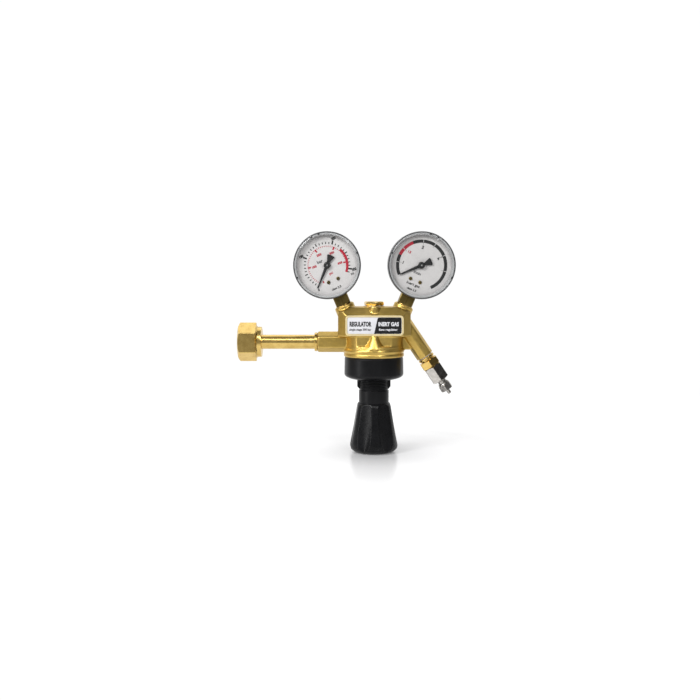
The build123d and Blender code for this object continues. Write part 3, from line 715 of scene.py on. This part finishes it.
def shrunk(outline, amount):
    width = max(x for x, y in outline)
    height = max(y for x, y in outline)
    return [(x * (1 - amount / width), y * (1 - amount / height)) for x, y in outline]


rim_out, rim_in = rounded_rect(53.9, 18.9, 3.3), rounded_rect(50.6, 15.6, 1.9)
piece(rim_of("label_rim", rim_out, rim_in, -1.2, 0.36), LABEL_EDGE, "forged_brass")
plate = slab("label_plate_white", label_sheet(), rounded_rect(50.4, 15.4, 1.8), -0.6, 0.0, 0.08)
piece(plate, LABEL_WHITE, "label_face", "label_plate")

# Dark field on the right, its left edge a slanting curve.
field = label_sheet()
right_part = [(-0.7, -7.5)] + [(x, y) for x, y in rounded_rect(49.8, 15.0, 1.6) if x > 4]
right_part += [(3.9, 7.5), (3.1, 6.9), (2.6, 5.8), (0.6, -3.2), (0.1, -5.4), (-0.3, -6.8)]
field.shape(right_part, 0.03)
piece(field.build("label_black_field"), LABEL_BLACK, "label_face")

white_words = label_sheet()
white_words.text("INERT GAS", 12.9, 1.2, 4.9, bold=0.05, fit=19.0, level=0.06)
white_words.text("flow regulator", 12.7, -3.7, 2.8, bold=0.03, fit=17.5, level=0.06)
piece(white_words.build("label_white_print"), LABEL_WHITE, "label_face")

dark_words = label_sheet()
dark_words.text("REGULATOR", -13.2, 1.2, 5.8, bold=0.055, fit=20.2, level=0.06)
dark_words.text("single stage 300 bar", -13.2, -3.7, 2.8, bold=0.03, fit=20.2, level=0.06)
piece(dark_words.build("label_dark_print"), PRINT_AND_SHADE_BLACK, "label_face")


# ---- valve plug

plug = bar("valve_plug_head", UP, 139.75, 143.4, 17.0, 6, 0.8, phase=math.radians(10), low=False)
piece(plug, TURNED_Z, "turned_brass", "valve_plug")
turned("valve_plug_seal", UP, section(139.15, 139.8, 5.0, 8.3), 0.15,
       SEAL, "seal_plastic", "plug_seal")

# ---- bonnet

profile = [(21.5, 10.0, 0.3), (21.5, 14.2, 0.7), (59.1, 14.2, 0.3), (59.9, 13.1, 0.3)]
for ridge in range(6):
    base = 60.1 + 1.5 * ridge
    profile += [(base + 0.25, 13.6, 0.25), (base + 0.95, 13.6, 0.25), (base + 1.2, 13.0, 0.15)]
profile += [(69.15, 13.0, 0.2), (69.25, 14.9, 0.3), (70.0, 19.6, 1.0), (70.9, 23.2, 1.5),
            (72.2, 26.2, 1.5), (73.6, 27.6, 1.0), (75.0, 28.0, 0.8), (89.9, 27.7, 0.4),
            (90.4, 27.2, 0.2), (90.9, 27.5, 0.2), (91.45, 27.2, 0.2), (91.45, 19.4, 0.2),
            (78.0, 19.4, 1.0), (74.0, 11.4, 1.0), (38.0, 11.4, 0.3), (38.0, 10.0, 0.3)]
bonnet = lathe("bonnet_shell", UP, profile, 0.3, steps=160, sharp=40)
# Two gussets under the skirt.
lugs = []
outline = ((12.6, 60.3), (13.7, 60.3), (15.8, 62.7), (15.8, 69.9), (12.6, 69.9))
for side in (-1, 1):
    verts = [(side * x, y, z) for y in (-1.6, 1.6) for x, z in outline]
    faces = [[0, 1, 2, 3, 4], [9, 8, 7, 6, 5]]
    faces += [[i, i + 5, (i + 1) % 5 + 5, (i + 1) % 5] for i in range(5)]
    lug = new_object("lug", verts, faces, 30)
    soft = bmesh.new()
    soft.from_mesh(lug.data)
    bevel(soft, soft.edges[:], 0.3, segments=2)
    soft.to_mesh(lug.data)
    soft.free()
    shade(lug.data)
    lugs.append(lug)
piece(join("bonnet_shell", bonnet, *lugs), BLACK, "black_plastic", "bonnet")


# ---- knob

def soft_min(a, b, k):
    """Smaller of two lengths, rounded over about k where they cross."""
    h = np.clip(0.5 + 0.5 * (b - a) / k, 0, 1)
    return b * (1 - h) + a * h - k * h * (1 - h)


def knob_mesh():
    """Conical knob with six flutes that widen and flatten towards its top."""
    # Height and radius down the outside, between the flutes.
    outer = [(0.0, 16.6), (0.5, 18.4), (1.5, 20.2), (3.0, 21.8), (5.0, 22.85), (7.0, 23.1),
             (9.0, 22.9), (43.6, 16.9), (44.8, 16.5), (45.9, 15.9), (46.6, 15.35), (47.0, 15.0)]
    heights = [0, 0.05, 0.3, 0.7, 1.2, 1.8, 2.5, 3.0, 3.5, 4.2, 5, 6, 7, 8, 9]
    heights += list(np.linspace(10, 43.6, 40)) + [44.2, 44.8, 45.3, 45.7, 46.1, 46.5, 46.8, 47.0]
    # Each flute is a round groove. Its floor and its radius change steadily between two heights.
    low, high, first_flute = 3.0, 45.6, 33.0
    angles = turn_angles(steps=432)
    rows = [(2.0, 0.0), (2.0, 12.1), (0.0, 12.1), (0.0, 15.0)]
    for z in heights:
        base = float(np.interp(z, *zip(*outer)))
        t = (min(z, high) - low) / (high - low)
        floor, radius = 21.3 + (15.45 - 21.3) * t, 5.6 + (60 - 5.6) * t
        reach = floor + radius
        ring = []
        for a in angles:
            off = (math.degrees(a) - first_flute + 30) % 60 - 30
            across = reach * math.sin(math.radians(off))
            if abs(across) < radius and z >= 2.0:
                cut = reach * math.cos(math.radians(off)) - math.sqrt(radius**2 - across**2)
                if z > high:
                    cut += (z - high) * 0.2
                ring.append(float(soft_min(base, cut, 0.55)))
            else:
                ring.append(base)
        rows.append((z, ring))
    rows += [(47.0, 14.75), (46.8, 14.7), (12.0, 14.7), (12.0, 6.2), (9.0, 6.2), (9.0, 0.0)]
    verts, faces = skin(UP, angles, rows, loop=False)
    return new_object("knob_grip", verts, faces, 50)


piece(knob_mesh(), KNOB_BLACK, "black_plastic", "adjusting_knob", body="knob")
turned("knob_end_cap", UP, section(0.02, 1.98, 0, 11.95), 0.3,
       CAP_BLACK, "cap_plastic", "knob_cap", body="knob")

# ---- relief valve

base = bar("relief_base", RELIEF, 106.0, 110.6, 14.0, 6, 0.6, hole=4.2, low=False)
tube = lathe("relief_tube", RELIEF, section(93.6, 116.0, 4.2, 5.4), 0.2)
piece(join("relief_housing", base, tube), TURNED_Z, "turned_brass", "relief_valve_body")
profile = [(111.2, 5.45), (111.2, 6.2), (111.7, 6.4), (116.6, 6.4), (117.0, 6.05), (117.4, 6.4),
           (118.5, 6.4), (119.0, 5.8), (119.0, 1.0), (117.2, 1.0), (117.2, 5.45)]
turned("relief_top", RELIEF, profile, 0.2, BLACK, "black_plastic", "relief_cap")

# ---- inlet

profile = [(-115.0, 3.0), (-115.0, 8.8, 0.2), (-114.6, 9.2, 0.2), (-111.2, 9.2, 0.3),
           (-111.2, 6.75, 0.1), (-56.2, 6.75, 0.0), (-56.2, 8.5, 0.2), (-55.8, 8.9, 0.3),
           (-53.9, 8.9, 0.3), (-53.5, 8.5, 0.2), (-53.5, 6.4, 0.2), (-39.6, 6.4), (-39.6, 3.0)]
turned("inlet_stem", INLET, profile, 0.2, TURNED_X, "turned_brass", "inlet_nipple")
turned("inlet_slip_washer", INLET, section(-111.15, -110.45, 6.85, 9.9), 0.12,
       STEEL, "steel", "slip_washer", body="slip_washer")


def inlet_nut():
    """Union nut with a threaded bore, chamfered hexagon and turned collar."""
    start, back = NUT_OUT, -111.1
    phase = math.radians(30)
    angles = turn_angles(6, phase)
    outline = np.array([polygon_radius(a, 16.0, 6, phase, 0.9) for a in angles])
    face_r = 15.5
    drop = np.maximum(outline - face_r, 0) * math.tan(math.radians(30))
    rows = [(start + 1.25, 9.9), (start + 0.1, 11.0), (start, 11.15), (start, face_r - 0.25)]
    rows += [(start + 0.07, face_r - 0.02), (start + drop + 0.1, outline)]
    rows += [(start + drop + 0.5, outline)]
    rows += [(back - 0.9, outline), (back - 0.35, outline - 0.1), (back - 0.05, outline - 0.45)]
    rows += [(back, np.minimum(outline, 15.75)), (back + 0.15, 15.55), (back + 1.0, 14.7)]
    rows += [(back + 1.35, 14.4), (back + 1.7, 14.35), (NUT_BACK - 0.7, 14.35)]
    rows += [(NUT_BACK - 0.2, 14.15), (NUT_BACK, 13.7), (NUT_BACK, 7.5), (NUT_BACK - 0.3, 7.15)]
    rows += [(-110.35, 7.1), (-110.4, 11.2), (-117.5, 11.2), (-117.6, 11.2)]
    pitch, crest, root = 1.81, 9.87, 10.75
    at = -117.75
    while at - pitch > start + 1.6:
        rows += [(at, crest), (at - 0.25, crest)]
        rows += [(at - 0.75, root), (at - 1.05, root), (at - 1.55, crest)]
        at -= pitch
    verts, faces = skin(INLET, angles, rows, loop=True)
    return new_object("inlet_union_nut", verts, faces, 30)


piece(inlet_nut(), TURNED_X, "turned_brass", "inlet_nut", body="inlet_nut")

# ---- outlet

turned("outlet_joint", ARM, section(0.05, 0.85, 5.5, 6.9), 0.15,
       SEAL, "seal_plastic", "outlet_seal")

profile = [(0.95, 0), (0.95, 7.6, 0.2), (1.3, 8.0, 0.2), (2.7, 8.0, 0.2), (3.1, 7.6, 0.2),
           (3.15, 6.6, 0.2), (4.6, 6.6, 0.2), (4.6, 0)]
parts = [lathe("collar", ARM, profile, 0.2), bar("hexagon", ARM, 4.4, 11.45, 17.0, 6, 0.7)]
piece(join("outlet_hex_adapter", *parts), TURNED_ARM, "turned_brass", "outlet_adapter")

profile = [(27.0, 0), (27.0, 4.9, 0.3), (28.0, 4.9, 0.3), (28.3, 4.2, 0.3), (33.0, 4.2), (33.0, 0)]
parts = [
    bar("hexagon", ARM, 11.55, 27.3, 16.0, 6, 0.55, slope=35, face_share=0.955),
    lathe("neck", ARM, profile, 0.2),
]
piece(join("hose_hex_connector", *parts), NICKEL, "nickel_plate", "hose_connector")

profile = [(30.6, 4.7), (30.6, 4.85, 0.2), (31.6, 5.5, 0.3), (32.5, 5.5, 0.2), (32.5, 4.7)]
parts = [
    lathe("collar", ARM, profile, 0.2),
    bar("hexagon", ARM, 32.2, 38.4, 11.0, 6, 0.45, phase=math.radians(8), hole=2.65),
]
piece(join("hose_union_nut", *parts), NICKEL, "nickel_plate", "hose_nut", body="hose_nut")

profile = [(33.1, 0.6), (33.1, 4.0), (34.6, 4.0), (34.7, 2.3), (38.6, 2.3), (38.8, 1.8, 0.3),
           (42.2, 1.8, 0.3), (42.8, 1.4, 0.2), (42.8, 0.6)]
turned("hose_barb", ARM, profile, 0.15, NICKEL, "nickel_plate", "hose_tail", steps=64)


# ---- gauges

# Angles on a dial are in degrees, clockwise from its top.
ZERO = -135.0


def build_gauge(prefix, sign, print_dial):
    """One gauge. sign is 1 for the gauge whose socket leans to the right below it."""
    down = Vector((sign * SIN_L, 0, -COS_L))
    up = -down
    right = Vector((COS_L, 0, sign * SIN_L))
    centre = Vector((-sign * GAUGE_X, 0, GAUGE_Z))
    depth = Axis(centre, FRONT, up)
    port = Axis(centre, down, FRONT)

    profile = [(-10.0, 0), (-10.0, 8.0, 1.0), (-9.4, 9.5, 1.0), (-9.4, 24.0, 1.0),
               (-10.0, 25.5, 1.0), (-10.0, 29.3, 2.0), (-8.0, 31.2, 2.5), (-5.0, 31.2, 1.0),
               (-4.6, 31.5, 0.5), (14.6, 31.5, 1.1), (16.0, 30.95, 0.6), (16.0, 30.45, 0.2),
               (15.2, 30.42, 0.2), (-8.6, 30.3, 1.5), (-8.9, 28.5, 1.0), (-8.9, 0)]
    turned(prefix + "_shell", depth, profile, 0.3, CASE, "case_metal", prefix + "_case",
           steps=160)
    profile = [(17.5, 0), (17.3, 22.0, 0), (16.9, 27.6, 3.0), (16.0, 30.3, 0.5), (15.7, 30.3, 0.1),
               (15.9, 28.2, 0.3), (16.2, 22.0, 0), (16.4, 0)]
    turned(prefix + "_cover", depth, profile, 0.2, WINDOW, "clear_window", prefix + "_window",
           steps=160)
    # Opaque collar under the window's rim, its grey painted shade for the darker ring at the edge
    # of the clear cover.
    profile = [(15.6, 30.3), (11.75, 30.3), (11.75, 28.3), (12.4, 28.0), (15.0, 28.7), (15.6, 29.2)]
    turned(prefix + "_cover_skirt", depth, profile, 0.35, SKIRT_SHADE, "clear_window", steps=160)

    # Small black blocks at four places on the window's rim, where it has small dark notches.
    rim_blocks = []
    rim_block_r = 29.7
    for turn in (-90, -7, 7, 90):
        a = math.radians(turn)
        spot = centre + up * rim_block_r * math.cos(a) + right * rim_block_r * math.sin(a) + FRONT * 16.3
        out = up * math.cos(a) + right * math.sin(a)
        rim_block = rounded_box("rim_block", (-1.0, -0.35, -0.55), (1.0, 0.35, 0.35), 0.12)
        place = Matrix((out.cross(FRONT), out, FRONT)).transposed().to_4x4()
        place.translation = spot * MM
        rim_block.data.transform(place)
        rim_blocks.append(rim_block)
    piece(join(prefix + "_cover_rim_blocks", *rim_blocks), CAP_BLACK, "cap_plastic")

    profile = section(9.52, DIAL_FACE, 3.2, 29.5)
    turned(prefix + "_face", depth, profile, 0.12, DIAL, "dial_white", prefix + "_dial")
    inks = {"black": PRINT_AND_SHADE_BLACK, "red": PRINT_RED, "grey": PRINT_GREY}
    sheets = [Sheet(centre + FRONT * DIAL_FACE, right, up) for _ in inks]
    print_dial(*sheets)
    for drawn, (colour, ink) in zip(sheets, inks.items()):
        piece(drawn.build(prefix + "_print_" + colour), ink, "pointer_black")

    # Two slotted screws low on the dial.
    screws = []
    for letter, turn in (("a", -17.5), ("b", 17.5)):
        a = math.radians(turn)
        spot = centre - up * 16 * math.cos(a) + right * 16 * math.sin(a)
        place = Axis(spot, FRONT, (up * math.cos(a + 0.6) + right * math.sin(a + 0.6)))
        profile = [(10.32, 0), (10.32, 1.7), (10.9, 1.7, 0.3), (11.2, 1.3, 0.3), (11.2, 0)]
        screws.append(lathe("head", place, profile, 0.1, 40))
        screws.append(lathe("stalk", place, section(6.6, 10.4, 0, 0.88), 0.1, 24))
        top = Sheet(spot + FRONT * 11.2, place.side, FRONT.cross(place.side))
        # The black plate in each screw's slot, a touch proud of the head, is painted shade for the
        # dark inside the slot.
        groove = [(-1.45, -0.22), (1.45, -0.22), (1.45, 0.22), (-1.45, 0.22)]
        cut = slab(prefix + "_screw_slot_" + letter, top, groove, -0.3, 0.015, 0.01)
        piece(cut, PRINT_AND_SHADE_BLACK, "turned_brass")
    pair = join(prefix + "_screw_pair", *screws)
    piece(pair, SOCKET, "turned_brass", prefix + "_dial_screws")

    square = bar("square", port, 19.0, 40.0, 14.0, 4, 0.7, phase=math.radians(45), hole=1.3,
                 low=False, slope=22, face_share=1.03)
    profile = [(39.9, 1.3), (39.9, 6.5), (53.0, 6.5), (54.0, 5.6), (54.0, 1.3)]
    shank = join(prefix + "_shank", square, lathe("thread", port, profile, 0.2, 64))
    piece(shank, SOCKET, "turned_brass", prefix + "_socket")
    profile = section(40.02, 40.78, 6.6, 8.3)
    turned(prefix + "_washer", port, profile, 0.15, TURNED_Z, "turned_brass", prefix + "_seal",
           steps=96)

    # Pointer at rest on zero, with a broad tail and a small screw in its hub.
    zero = math.radians(ZERO)
    along = up * math.cos(zero) + right * math.sin(zero)
    across = FRONT.cross(along)
    blade = Sheet(centre + FRONT * 11.7, along, -across)
    reach = [(22.5, 0.22), (21.5, 0.52), (3.0, 1.45), (-3.0, 1.35), (-6.6, 2.6), (-8.6, 3.4),
             (-9.7, 3.3)]
    outline = [(x, w) for x, w in reach] + [(-10.0, w) for w in (2.2, 0.0, -2.2)]
    outline += [(x, -w) for x, w in reversed(reach)]
    flat = slab("flat", blade, outline, 0.0, 0.5, 0.12)
    profile = [(11.45, 0.7), (11.45, 3.0), (12.9, 3.0, 0.4), (13.35, 2.4, 0.3), (13.35, 0.7)]
    needle = join(prefix + "_needle", flat, lathe("hub", depth, profile, 0.2, 64))
    pointer = prefix + "_pointer"
    piece(needle, POINTER, "pointer_black", pointer, body=pointer)
    profile = [(12.6, 0), (12.6, 1.25), (13.1, 1.25, 0.2), (13.2, 0.9), (13.2, 0)]
    turned(prefix + "_hub_screw", depth, profile, 0.1, STEEL, "steel", body=pointer, steps=40)


def print_supply(black, red, grey):
    """Two scales, bar outside in black and psi inside in red, and a red band past the limit."""
    sweep, top = 256.0, 300.0
    for mark in range(0, 316, 10):
        angle = ZERO + sweep * mark / top
        if mark % 100 == 0:
            black.tick(angle, 19.8, 23.3, 1.45)
        elif mark % 50 == 0:
            black.tick(angle, 19.8, 22.4, 1.05)
        else:
            black.tick(angle, 19.8, 21.7, 0.85)
    for number in (100, 200, 300):
        black.polar_text(str(number), 25.4, ZERO + sweep * number / top, 3.5, bold=0.065, wide=0.80)
    black.polar_text("0", 24.3, -139.0, 3.0, bold=0.06)
    black.polar_text("315", 25.0, 131.0, 2.5, bold=0.06, wide=0.8)
    red.arc(17.7, 20.0, 61.5, 131.7)
    for mark in range(43):
        angle = ZERO + 0.05 + 5.94 * mark
        if mark and mark % 10 == 0:
            red.tick(angle, 15.2, 18.3, 1.5, 0.06)
        else:
            red.tick(angle, 17.1, 18.4, 0.62, 0.06)
    for number in (1, 2, 3, 4):
        red.polar_text(f"{number}000", 12.1, ZERO + 59.45 * number, 2.9, bold=0.06, wide=0.80)
    red.polar_text("0", 16.2, -146.0, 2.6, bold=0.07)
    grey.polar_text("bar", 7.6, -42.0, 4.1, bold=0.03)
    red.polar_text("psi", 8.2, 176.0, 3.4, bold=0.03)
    black.text("class 2.5", 0, -22.9, 2.9, bold=0.035)


def print_flow(black, red, grey):
    """One broad band with a red stretch and gaps where the numbers stand."""
    gaps = [-104.0, -69.0, -18.0, 11.0, 44.5, 82.4]
    edges = [ZERO] + gaps + [-ZERO]
    band, half_gap = (20.9, 23.9), 0.55
    red_from, red_to = -86.0, -43.0
    for low, high in zip(edges[:-1], edges[1:]):
        low = low + half_gap if low in gaps else low
        high = high - half_gap if high in gaps else high
        if low < red_from < high:
            black.arc(*band, low, red_from)
            red.arc(*band, red_from, high)
        elif low < red_to < high:
            red.arc(*band, low, red_to)
            black.arc(*band, red_to, high)
        else:
            black.arc(*band, low, high)
    black.polar_text("1", 17.4, -104.0, 3.5, bold=0.06)
    red.polar_text("1.5", 16.8, -65.0, 3.2, bold=0.06, wide=0.85)
    black.polar_text("2", 16.6, -18.7, 3.8, bold=0.06)
    black.polar_text("4", 16.6, 46.0, 3.6, bold=0.06)
    for gap in gaps:
        black.tick(gap, 19.0, 21.4, 0.25)
    black.tick(46.0, 18.4, 21.2, 0.35)
    grey.polar_text("l/min", 8.2, 186.0, 3.6, bold=0.03)
    black.polar_text("0", 18.8, -136.0, 2.8, bold=0.06)
    black.text("inert gas", -0.4, -19.4, 3.5, bold=0.03, wide=1.1)
    black.text("class 2.5", 0, -24.2, 2.8, bold=0.035)


build_gauge("supply_gauge", 1, print_supply)
build_gauge("flow_gauge", -1, print_flow)

# ---- pieces kept from the CAD

KEPT = {
    TURNED_Z: ["valve_seat", "spindle_bush", "valve_pin", "relief_poppet"],
    TURNED_X: ["inlet_filter"],
    STEEL: ["spindle", "thrust_ball", "spring_button", "slip_ring"],
    ALLOY: ["diaphragm_plate"],
    RUBBER: ["valve_poppet"],
    SEAL: ["inlet_seal"],
    SOCKET: [p + "_" + n for p in ("supply_gauge", "flow_gauge")
             for n in ("bourdon_tube", "movement_frame", "pinion", "sector")],
}
for material, names in KEPT.items():
    for name in names:
        mesh = NODES[name].data
        mesh.materials.clear()
        mesh.materials.append(material)


def cad_copy(node, name, material):
    """Own copy of a CAD piece, for one that has to flex."""
    source = NODES[node]
    mesh = source.data.copy()
    mesh.transform(source.matrix_world)
    mesh.materials.clear()
    mesh.materials.append(material)
    obj = placed(name, mesh)
    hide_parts(node)
    return obj


def coil_spring(node, name):
    """Own copy of a CAD spring, riding on the body, its upper end the fixed one."""
    obj = cad_copy(node, name, SPRING)
    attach(obj, "body")
    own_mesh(obj)


coil_spring("main_spring", "pressure_spring")
coil_spring("poppet_spring", "closing_spring")
coil_spring("relief_spring", "relief_closing_spring")

flexing = cad_copy("diaphragm", "flexing_diaphragm", RUBBER)
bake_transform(flexing)


# ---- stage, light and camera

def aim(obj, place, target):
    """Puts a lamp or camera at a place, facing a target, in metres."""
    obj.location = place
    obj.rotation_euler = (Vector(target) - Vector(place)).to_track_quat("-Z", "Y").to_euler()
    return obj


def area(name, place, target, size, power, size_y=None):
    """Rectangular lamp, its sides in metres and its power in watts."""
    lamp = bpy.data.lights.new(name, "AREA")
    lamp.shape = "RECTANGLE"
    lamp.size, lamp.size_y = size, size_y or size
    lamp.energy = power
    return aim(placed(name, lamp), place, target)


SEEN_WHITE, LIT_WHITE = 1.02, 0.27
world = bpy.data.worlds.new("studio")
bpy.context.scene.world = world
world.use_nodes = True
sky = world.node_tree.nodes["Background"]
sky.inputs["Color"].default_value = (1, 1, 1, 1)
# White where it is seen, and dimmer as a source of light.
seen = world.node_tree.nodes.new("ShaderNodeLightPath")
level = world.node_tree.nodes.new("ShaderNodeMapRange")
level.inputs["To Min"].default_value = LIT_WHITE
level.inputs["To Max"].default_value = SEEN_WHITE
world.node_tree.links.new(seen.outputs["Is Camera Ray"], level.inputs["Value"])
world.node_tree.links.new(level.outputs["Result"], sky.inputs["Strength"])


def card(name, corners, material):
    """Flat stage card through four corners in metres."""
    mesh = bpy.data.meshes.new(name)
    mesh.from_pydata(corners, [], [(0, 1, 2, 3)])
    mesh.materials.append(material)
    return placed(name, mesh)


def floor_material():
    """White floor that glows a little, mirrors the object's foot softly and fades out far away."""
    paint = Paint("floor_white").set(Roughness=0.26)
    cloud = paint.noise(90, 2)
    white = paint.blend(paint.spread(cloud, 0, 1), (0.54, 0.54, 0.55), (0.56, 0.56, 0.57))
    length = paint.node("VectorMath")
    length.operation = "LENGTH"
    paint.feed(length.inputs[0], paint.coords)
    away = length.outputs["Value"]
    far = paint.spread(away, 0, 1, 0.07, 0.20)
    paint.link(paint.blend(far, white, (0.22, 0.22, 0.22)), "Base Color")
    paint.link(paint.spread(away, 0.14, 0.82, 0.03, 0.19), "Emission Strength")
    paint.link(paint.spread(away, 0.8, 0.05, 0.03, 0.13), "Specular IOR Level")
    paint.set(Emission_Color=(1, 1, 1, 1))
    clear = paint.node("BsdfTransparent")
    return paint.show(paint.shader, clear, factor=paint.spread(away, 0, 1, 0.36, 0.60))


FLOOR_Z = float(cad_lo.z) - 0.0002
HALF_FLOOR = 0.62
glow = Paint("backdrop_glow")
glow.show(glow.node("Emission", Color=(1, 1, 1, 1), Strength=SEEN_WHITE))
backdrop = card("backdrop", [(-6, 3, -1), (6, 3, -1), (6, 3, 5), (-6, 3, 5)], glow.material)
around = ((-1, -1), (1, -1), (1, 1), (-1, 1))
corners = [(x * HALF_FLOOR, y * HALF_FLOOR, FLOOR_Z) for x, y in around]
floor = card("floor", corners, floor_material())
# Unseen dark card, which the plated hexagon's right faces mirror.
dark_right = card(
    "card_right",
    [(0.33, -0.50, 0.20), (0.60, -0.13, 0.20), (0.53, -0.08, 0.50), (0.26, -0.45, 0.50)],
    plain("card_black", (0.01, 0.01, 0.01), 0.8),
)
dark_right.visible_camera = False

centre = Vector((-0.0227, 0, 0.105))
key = area("key", (-0.60, -0.60, 0.70), centre, 0.38, 7.6)
side = area("side", (0.42, -0.85, 0.68), centre, 0.26, 3.0)
top = area("top", (-0.05, 0.42, 0.98), centre, 0.55, 1.1)
strip_l = area("strip_left", (-0.45, -0.25, 0.14), (0, 0, 0.06), 0.06, 0.4, size_y=0.3)
front = area("front_top", (-0.03, -0.78, 0.80), centre, 0.7, 2.0, size_y=0.14)

camera_data = bpy.data.cameras.new("camera")
camera_data.lens = 51.5
elevation, distance = math.radians(5.0), 0.95
look = Vector((-0.0227, 0, 0.0973))
eye = look + Vector((0, -math.cos(elevation), math.sin(elevation))) * distance
camera = aim(placed("camera", camera_data), eye, look)
bpy.context.scene.camera = camera
bpy.context.scene.view_settings.view_transform = "Standard"
